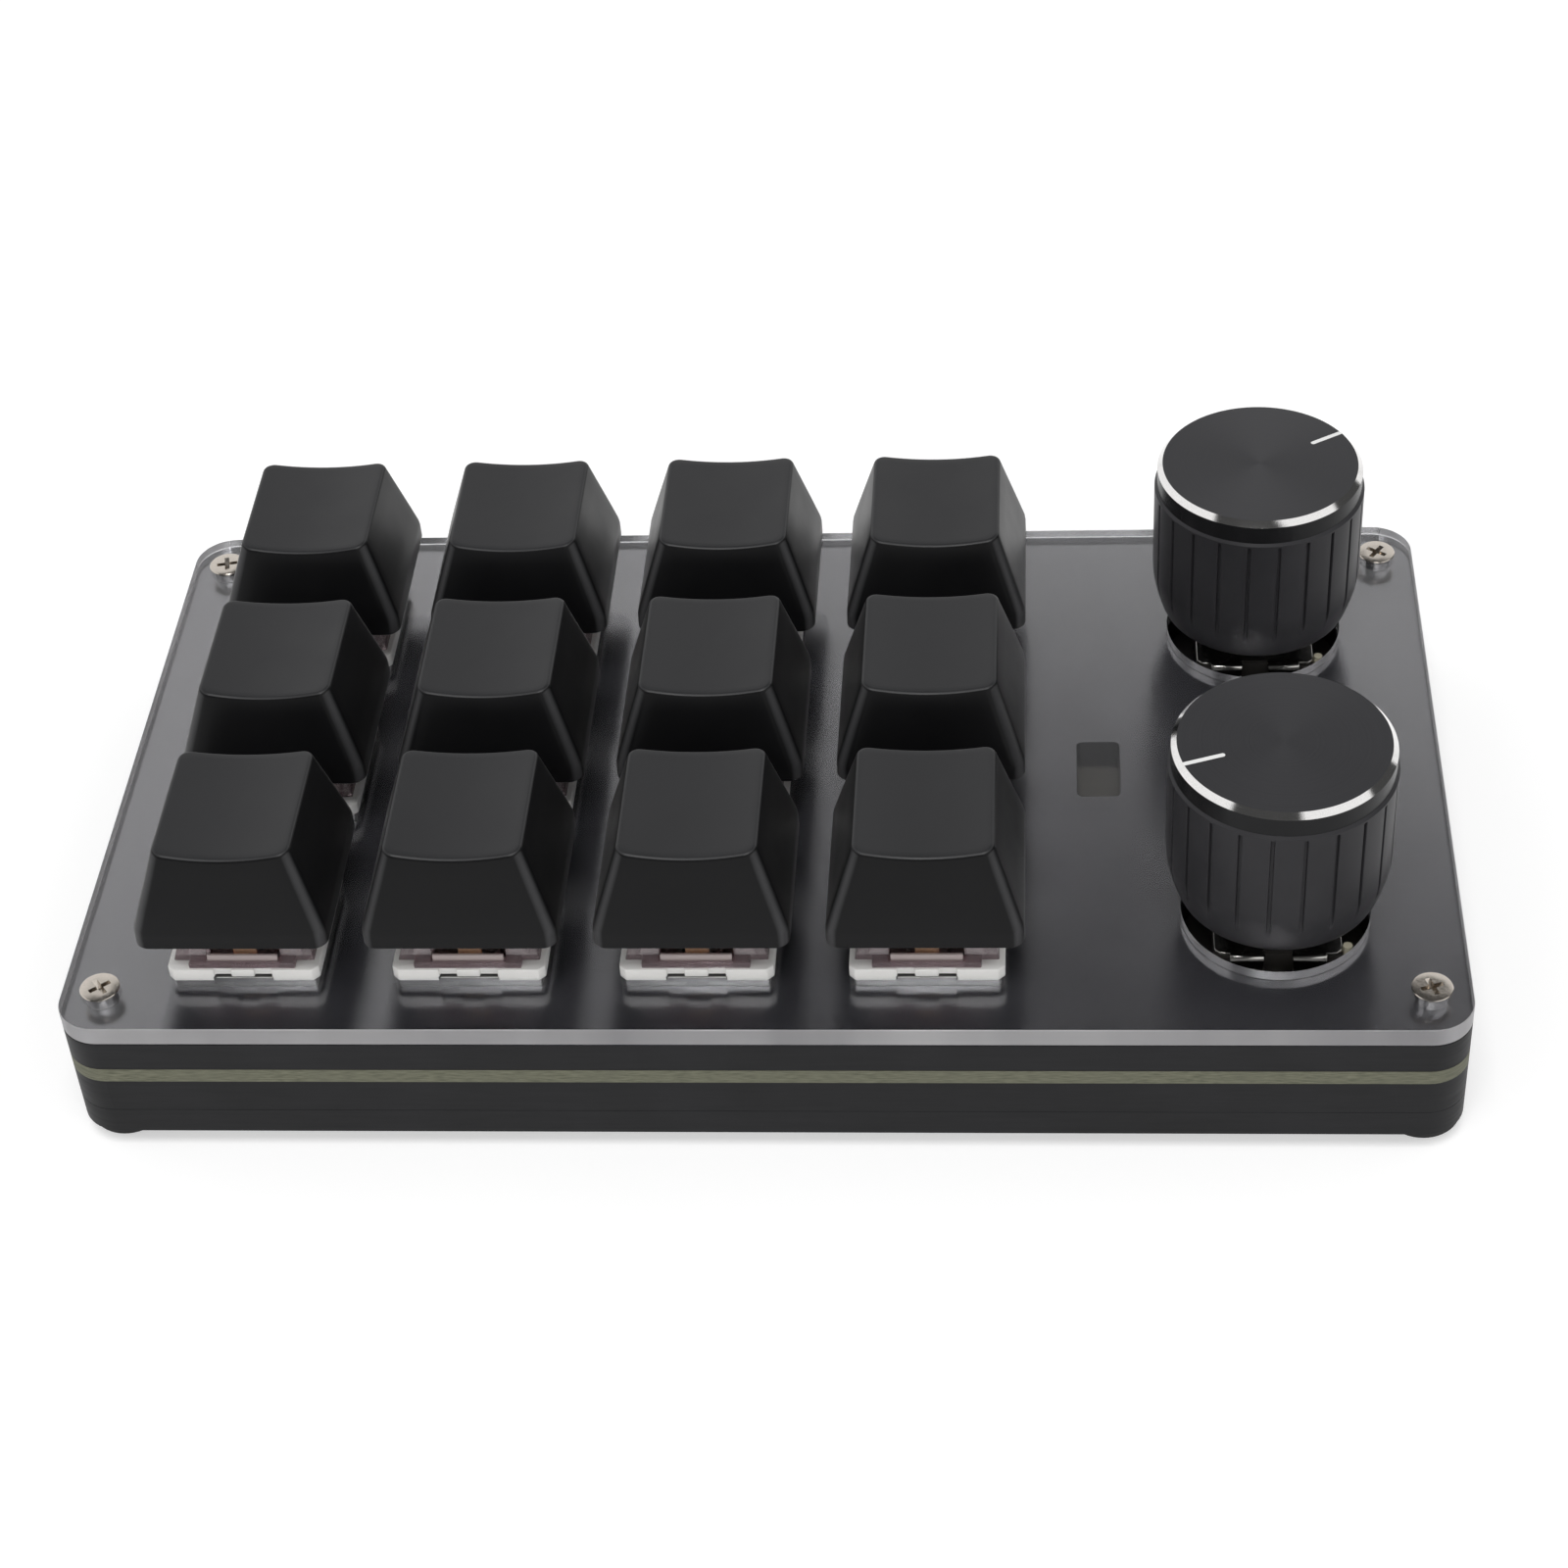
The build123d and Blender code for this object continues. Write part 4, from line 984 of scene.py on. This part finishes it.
def draw_keycap(bm):
    """A keycap about its own middle, with its skirt's foot at height 0."""
    inner_half = CAP_HALF - CAP_WALL
    foot_inner = ring(bm, outline(inner_half, inner_half, CAP_INNER_CORNER, 0, 0, *CAP_STEPS), 0.0)
    foot_outer = ring(bm, flank_outline(0.0, CAP_FOOT_EDGE), 0.0)
    outer = [foot_inner, foot_outer, ring(bm, flank_outline(0.0), CAP_FOOT_EDGE)]
    outer += [ring(bm, flank_outline(height, inset), height) for height, inset in FLANK_RINGS]
    for step in range(CAP_EDGE_STEPS + 1):
        angle = radians(90 * step / CAP_EDGE_STEPS)
        outer.append(rim_ring(bm, CAP_EDGE * (1 - sin(angle)), CAP_EDGE * (1 - cos(angle))))
    # Painted shade: the flanks below take the darker flank material; the upper rim bands take the top's
    # paler one.
    skin(bm, outer[:-3])
    skin(bm, outer[-4:], 1)
    rim = outer[-1]
    top = [rim]
    for share in DISH_SHARES:
        points = [(v.co.x * share, CAP_TOP_SHIFT + (v.co.y - CAP_TOP_SHIFT) * share) for v in rim]
        top.append(ring(bm, points, [dish_height(x) for x, _ in points]))
    skin(bm, top, 1)
    fan(bm, top[-1], (0.0, CAP_TOP_SHIFT, dish_height(0.0)), 1)
    draw_hollow(bm, foot_inner)


for key, site in key_sites.items():
    cap = bmesh.new()
    draw_keycap(cap)
    bmesh.ops.translate(cap, vec=(site.x, site.y, cap_low.z), verts=cap.verts)
    finishes = [cap_flank_material, cap_top_material]
    piece(f"cap_{key}", cap, finishes, f"key_{key}", [f"keycap_{key}"], crease=35)

# ================================================================ knobs
KNOB_FLUTES = 22
FLUTE_WIDTH = 0.35
FLUTE_DEPTH = 0.3
# A groove's section: places in half widths from its middle, and drops below the land.
GROOVE_LIP = 1.25
GROOVE_SHOULDER = 1.0
GROOVE_FLOOR = 0.8
LIP_DROP = 0.015
SHOULDER_DROP = 0.06
LAND_STEPS = 7
KNOB_FACE_RADIUS = 9.65
KNOB_BAND_RADIUS = 10.15
KNOB_BODY_RADIUS = 10.4
KNOB_SKIRT_RADIUS = 9.2
CHAMFER_HEIGHT = 0.55
BAND_HEIGHT = 1.9
BAND_EDGE = 0.03
SHOULDER_HEIGHT = 0.2
SHOULDER_EDGE = 0.05
SKIRT_EDGE = 0.15
FLUTE_HEAD = 0.25
FLUTE_END = 0.1
TAPER_HEIGHT = 5.0
TAPER_POWER = 1.6
FLUTE_LEVELS = (0.8, 1.5, 2.2, 2.9, 3.2, 3.6, 4.3, 5.0, 8.0, 11.0)
FACE_RADII = (9.3, 7.0, 4.5, 2.0, 0.6)
RECESS_RADIUS = 6.5
RECESS_DEPTH = 4.0
RECESS_EDGE = 0.1
BORE_RADIUS = 3.02
BORE_DEPTH = 6.0
PAINT_PROUD = 0.02
PAINT_THICKNESS = 0.15
PAINT_SETBACK = 0.08
POINTER_ANGLES = {"front": 199.0, "rear": 31.0}
POINTER_WIDTH = 0.46
POINTER_STARTS = {"front": 5.7, "rear": 6.1}

knob_low, knob_high = limits("knob_front")
KNOB_HEIGHT = knob_high.z - knob_low.z
KNOB_FACE = KNOB_HEIGHT - PAINT_PROUD
BAND_TOP = KNOB_HEIGHT - CHAMFER_HEIGHT
BAND_FOOT = BAND_TOP - BAND_HEIGHT
SHOULDER_FOOT = BAND_FOOT - SHOULDER_HEIGHT
FLUTE_TOP = SHOULDER_FOOT - FLUTE_HEAD


def body_radius(height):
    """Radius of the knob's lands at a height: straight, then curving in to the skirt."""
    share = max(0.0, 1 - height / TAPER_HEIGHT)
    return KNOB_BODY_RADIUS - (KNOB_BODY_RADIUS - KNOB_SKIRT_RADIUS) * share ** TAPER_POWER


def fluted_points(height, depth):
    """Points round the knob with grooves of some depth below the straight body's radius."""
    land = body_radius(height)
    floor = min(land, KNOB_BODY_RADIUS - depth)
    pitch = 2 * pi / KNOB_FLUTES
    half = FLUTE_WIDTH / 2 / KNOB_BODY_RADIUS
    right = [(GROOVE_FLOOR, floor), (GROOVE_SHOULDER, land - SHOULDER_DROP), (GROOVE_LIP, land - LIP_DROP)]
    groove = [(-share, radius) for share, radius in right[::-1]] + right
    if floor >= land - SHOULDER_DROP or depth == 0:
        groove = [(share, land) for share, _ in groove]
    points = []
    for flute in range(KNOB_FLUTES):
        start = flute * pitch
        for share, radius in groove:
            angle = start + share * half
            points.append((radius * cos(angle), radius * sin(angle)))
        for step in range(1, LAND_STEPS):
            angle = start + GROOVE_LIP * half + (pitch - 2 * GROOVE_LIP * half) * step / LAND_STEPS
            points.append((land * cos(angle), land * sin(angle)))
    return points


def round_points(radius):
    """Points at one radius and at the angles of fluted_points."""
    ungrooved = fluted_points(TAPER_HEIGHT, 0)
    return [(x * radius / sqrt(x * x + y * y), y * radius / sqrt(x * x + y * y)) for x, y in ungrooved]


def draw_knob(bm):
    """A turned, fluted knob about its axis, with its skirt's foot at height 0."""
    body, chamfer, face, band = 0, 1, 2, 3

    def turned_rings(*profile):
        return [ring(bm, round_points(radius), height) for radius, height in profile]

    flank = turned_rings(
        (BORE_RADIUS, RECESS_DEPTH + BORE_DEPTH),
        (BORE_RADIUS, RECESS_DEPTH),
        (RECESS_RADIUS, RECESS_DEPTH),
        (RECESS_RADIUS, RECESS_EDGE),
        (RECESS_RADIUS + RECESS_EDGE, 0.0),
        (KNOB_SKIRT_RADIUS - SKIRT_EDGE, 0.0),
        (KNOB_SKIRT_RADIUS, SKIRT_EDGE),
    )
    bm.faces.new(flank[0])
    for height in (*FLUTE_LEVELS, FLUTE_TOP - FLUTE_END):
        flank.append(ring(bm, fluted_points(height, FLUTE_DEPTH), height))
    flank.append(ring(bm, fluted_points(FLUTE_TOP, 0), FLUTE_TOP))
    flank += turned_rings(
        (KNOB_BODY_RADIUS, SHOULDER_FOOT - SHOULDER_EDGE),
        (KNOB_BODY_RADIUS - SHOULDER_EDGE, SHOULDER_FOOT),
        (KNOB_BAND_RADIUS, BAND_FOOT),
    )
    skin(bm, flank, body)
    collar = flank[-1:] + turned_rings((KNOB_BAND_RADIUS, BAND_TOP - BAND_EDGE))
    skin(bm, collar, band)
    chamfer_rings = turned_rings((KNOB_BAND_RADIUS - BAND_EDGE, BAND_TOP), (KNOB_FACE_RADIUS, KNOB_FACE))
    rim = collar[-1:] + chamfer_rings
    skin(bm, rim, chamfer)
    top = rim[-1:] + turned_rings(*[(radius, KNOB_FACE) for radius in FACE_RADII])
    skin(bm, top, face)
    fan(bm, top[-1], (0.0, 0.0, KNOB_FACE), face)


def draw_pointer(bm, start):
    """White inlay along +X, over the face and down the chamfer, with a round inner end."""
    half = POINTER_WIDTH / 2
    angles = [radians(15 * i - 90) for i in range(13)]
    round_end = [(start + half - half * cos(a), half * sin(a)) for a in angles]
    slope = CHAMFER_HEIGHT / (KNOB_BAND_RADIUS - KNOB_FACE_RADIUS)
    tip = KNOB_BAND_RADIUS - PAINT_SETBACK
    levels = []
    for lift in (-PAINT_THICKNESS, 0.0):
        inner = ring(bm, round_end, KNOB_HEIGHT + lift)
        edge = ring(bm, [(KNOB_FACE_RADIUS, half), (KNOB_FACE_RADIUS, -half)], KNOB_HEIGHT + lift)
        tip_height = KNOB_HEIGHT - (tip - KNOB_FACE_RADIUS) * slope + lift
        levels.append((inner, edge, ring(bm, [(tip, half), (tip, -half)], tip_height)))
    (low_in, low_edge, low_tip), (top_in, top_edge, top_tip) = levels
    bm.faces.new([*top_in, *top_edge])
    bm.faces.new([top_edge[0], top_edge[1], top_tip[1], top_tip[0]])
    bm.faces.new([*low_in, *low_edge][::-1])
    bm.faces.new([low_edge[1], low_edge[0], low_tip[0], low_tip[1]])
    low_loop = [*low_in, low_edge[0], low_tip[0], low_tip[1], low_edge[1]]
    top_loop = [*top_in, top_edge[0], top_tip[0], top_tip[1], top_edge[1]]
    bridge(bm, low_loop, top_loop)
    bmesh.ops.recalc_face_normals(bm, faces=bm.faces)


for side, site in knob_sites.items():
    body = f"knob_{side}"
    lift = Matrix.Translation((site.x, site.y, knob_low.z))
    knob = bmesh.new()
    draw_knob(knob)
    bmesh.ops.transform(knob, matrix=lift, verts=knob.verts)
    finishes = [anodised_material, chamfer_material, spun_top(site), band_material]
    piece(f"turned_knob_{side}", knob, finishes, body, [f"knob_{side}"], crease=25)
    pointer = bmesh.new()
    draw_pointer(pointer, POINTER_STARTS[side])
    turned = lift @ Matrix.Rotation(radians(POINTER_ANGLES[side]), 4, "Z")
    bmesh.ops.transform(pointer, matrix=turned, verts=pointer.verts)
    piece(f"pointer_{side}", pointer, [pointer_material], body)

# ================================================================ studio
FLOOR_SIZE = 6.0
FLOOR_GLOW = 0.45
# The tent's rim, as the upward part of a direction, and how much higher it is at the sides.
TENT_LOW = 0.58
TENT_HIGH = 0.665
TENT_LIFT = 0.36
TENT_COLOR = (1.0, 1.0, 1.0)
CEILING_COLOR = (0.06, 0.06, 0.06)
# Turn to the right of the front, height above the horizon and radius, in degrees.
DARK_CARDS = [(-20.0, 42.0, 27.0), (108.0, 18.0, 20.0)]
CARD_BLUR = radians(2.5)
TOP_LIGHT_PLACE = (0.0, -0.375, 0.927)
TOP_LIGHT_SIZE = 0.36
TOP_LIGHT_POWER = 4.4

CAMERA_PLACE = (0.02702397, -0.24740749, 0.22947579)
CAMERA_TURN = radians(6.096)
CAMERA_TILT = radians(41.056)
CAMERA_ROLL = radians(-4.311)
CAMERA_LENS = 75.47


def bearing(turn, tilt):
    """A direction, turned to the right of the front and tilted above the horizon."""
    return Vector((sin(turn) * cos(tilt), -cos(turn) * cos(tilt), sin(tilt)))


def seen_directly(tree):
    """1 for camera, glossy and transmission rays, and 0 for the rest."""
    path = tree.nodes.new("ShaderNodeLightPath").outputs
    seen = calculate(tree, "MAXIMUM", path["Is Camera Ray"], path["Is Glossy Ray"])
    return calculate(tree, "MAXIMUM", seen, path["Is Transmission Ray"])


def dark_card(tree, direction, place):
    """1 inside a soft round patch of the sky and 0 outside it."""
    turn, tilt, radius = [radians(angle) for angle in place]
    nearness = vector_math(tree, "DOT_PRODUCT", direction, bearing(turn, tilt))["Value"]
    return spread(tree, nearness, 0, 1, cos(radius + CARD_BLUR), cos(radius - CARD_BLUR), smooth=True)


def studio_world():
    """A white tent with a dim ceiling, higher at its sides, and dark cards that only reflections show."""
    world = bpy.data.worlds.new("studio")
    scene.world = world
    world.use_nodes = True
    tree = world.node_tree
    direction = tree.nodes.new("ShaderNodeTexCoord").outputs["Generated"]
    reflected = tree.nodes.new("ShaderNodeLightPath").outputs["Is Glossy Ray"]
    axes = axes_of(tree, direction)
    height = calculate(tree, "MULTIPLY_ADD", calculate(tree, "ABSOLUTE", axes["X"]), -TENT_LIFT, axes["Z"])
    dark = spread(tree, height, 0, 1, TENT_LOW, TENT_HIGH, smooth=True)
    for place in DARK_CARDS:
        card = calculate(tree, "MULTIPLY", dark_card(tree, direction, place), reflected)
        dark = calculate(tree, "MAXIMUM", dark, card)
    sky = blend_colors(tree, dark, TENT_COLOR, CEILING_COLOR)
    tree.links.new(sky, tree.nodes["Background"].inputs["Color"])


def studio_floor():
    """White floor that keeps the object's soft shadow."""
    material, tree, shader = node_material("floor_paper")
    patches = noise(tree, place_of(tree), 40.0)
    set_sockets(
        shader,
        Base_Color=blend_colors(tree, patches, (0.66, 0.66, 0.66), (0.68, 0.68, 0.68)),
        Roughness=0.9,
        Specular_IOR_Level=0.1,
        Emission_Color=(1.0, 1.0, 1.0),
        Emission_Strength=calculate(tree, "MULTIPLY", seen_directly(tree), FLOOR_GLOW),
    )
    bm = bmesh.new()
    half = FLOOR_SIZE / 2
    bm.faces.new(ring(bm, [(-half, -half), (half, -half), (half, half), (-half, half)], 0.0))
    mesh = bpy.data.meshes.new("floor")
    bm.to_mesh(mesh)
    bm.free()
    mesh.materials.append(material)
    floor = bpy.data.objects.new("floor", mesh)
    scene.collection.objects.link(floor)


def top_light():
    """A square soft light above the front, turned to the object."""
    data = bpy.data.lights.new("top_light", "AREA")
    data.shape = "SQUARE"
    data.size = TOP_LIGHT_SIZE
    data.energy = TOP_LIGHT_POWER
    lamp = bpy.data.objects.new("top_light", data)
    lamp.location = TOP_LIGHT_PLACE
    lamp.rotation_euler = (Vector() - Vector(TOP_LIGHT_PLACE)).to_track_quat("-Z", "Y").to_euler()
    scene.collection.objects.link(lamp)


def studio_camera():
    """The camera at its measured place, with its turn, tilt and roll."""
    back = bearing(CAMERA_TURN, CAMERA_TILT)
    level = Vector((cos(CAMERA_TURN), sin(CAMERA_TURN), 0.0))
    upward = back.cross(level)
    right = cos(CAMERA_ROLL) * level + sin(CAMERA_ROLL) * upward
    up = -sin(CAMERA_ROLL) * level + cos(CAMERA_ROLL) * upward
    data = bpy.data.cameras.new("camera")
    data.lens = CAMERA_LENS
    data.sensor_width = 36.0
    data.clip_start = 0.01
    data.clip_end = 20.0
    camera = bpy.data.objects.new("camera", data)
    camera.matrix_world = Matrix.Translation(CAMERA_PLACE) @ Matrix((right, up, back)).transposed().to_4x4()
    scene.collection.objects.link(camera)
    scene.camera = camera


studio_world()
studio_floor()
top_light()
studio_camera()
scene.view_settings.view_transform = "Standard"
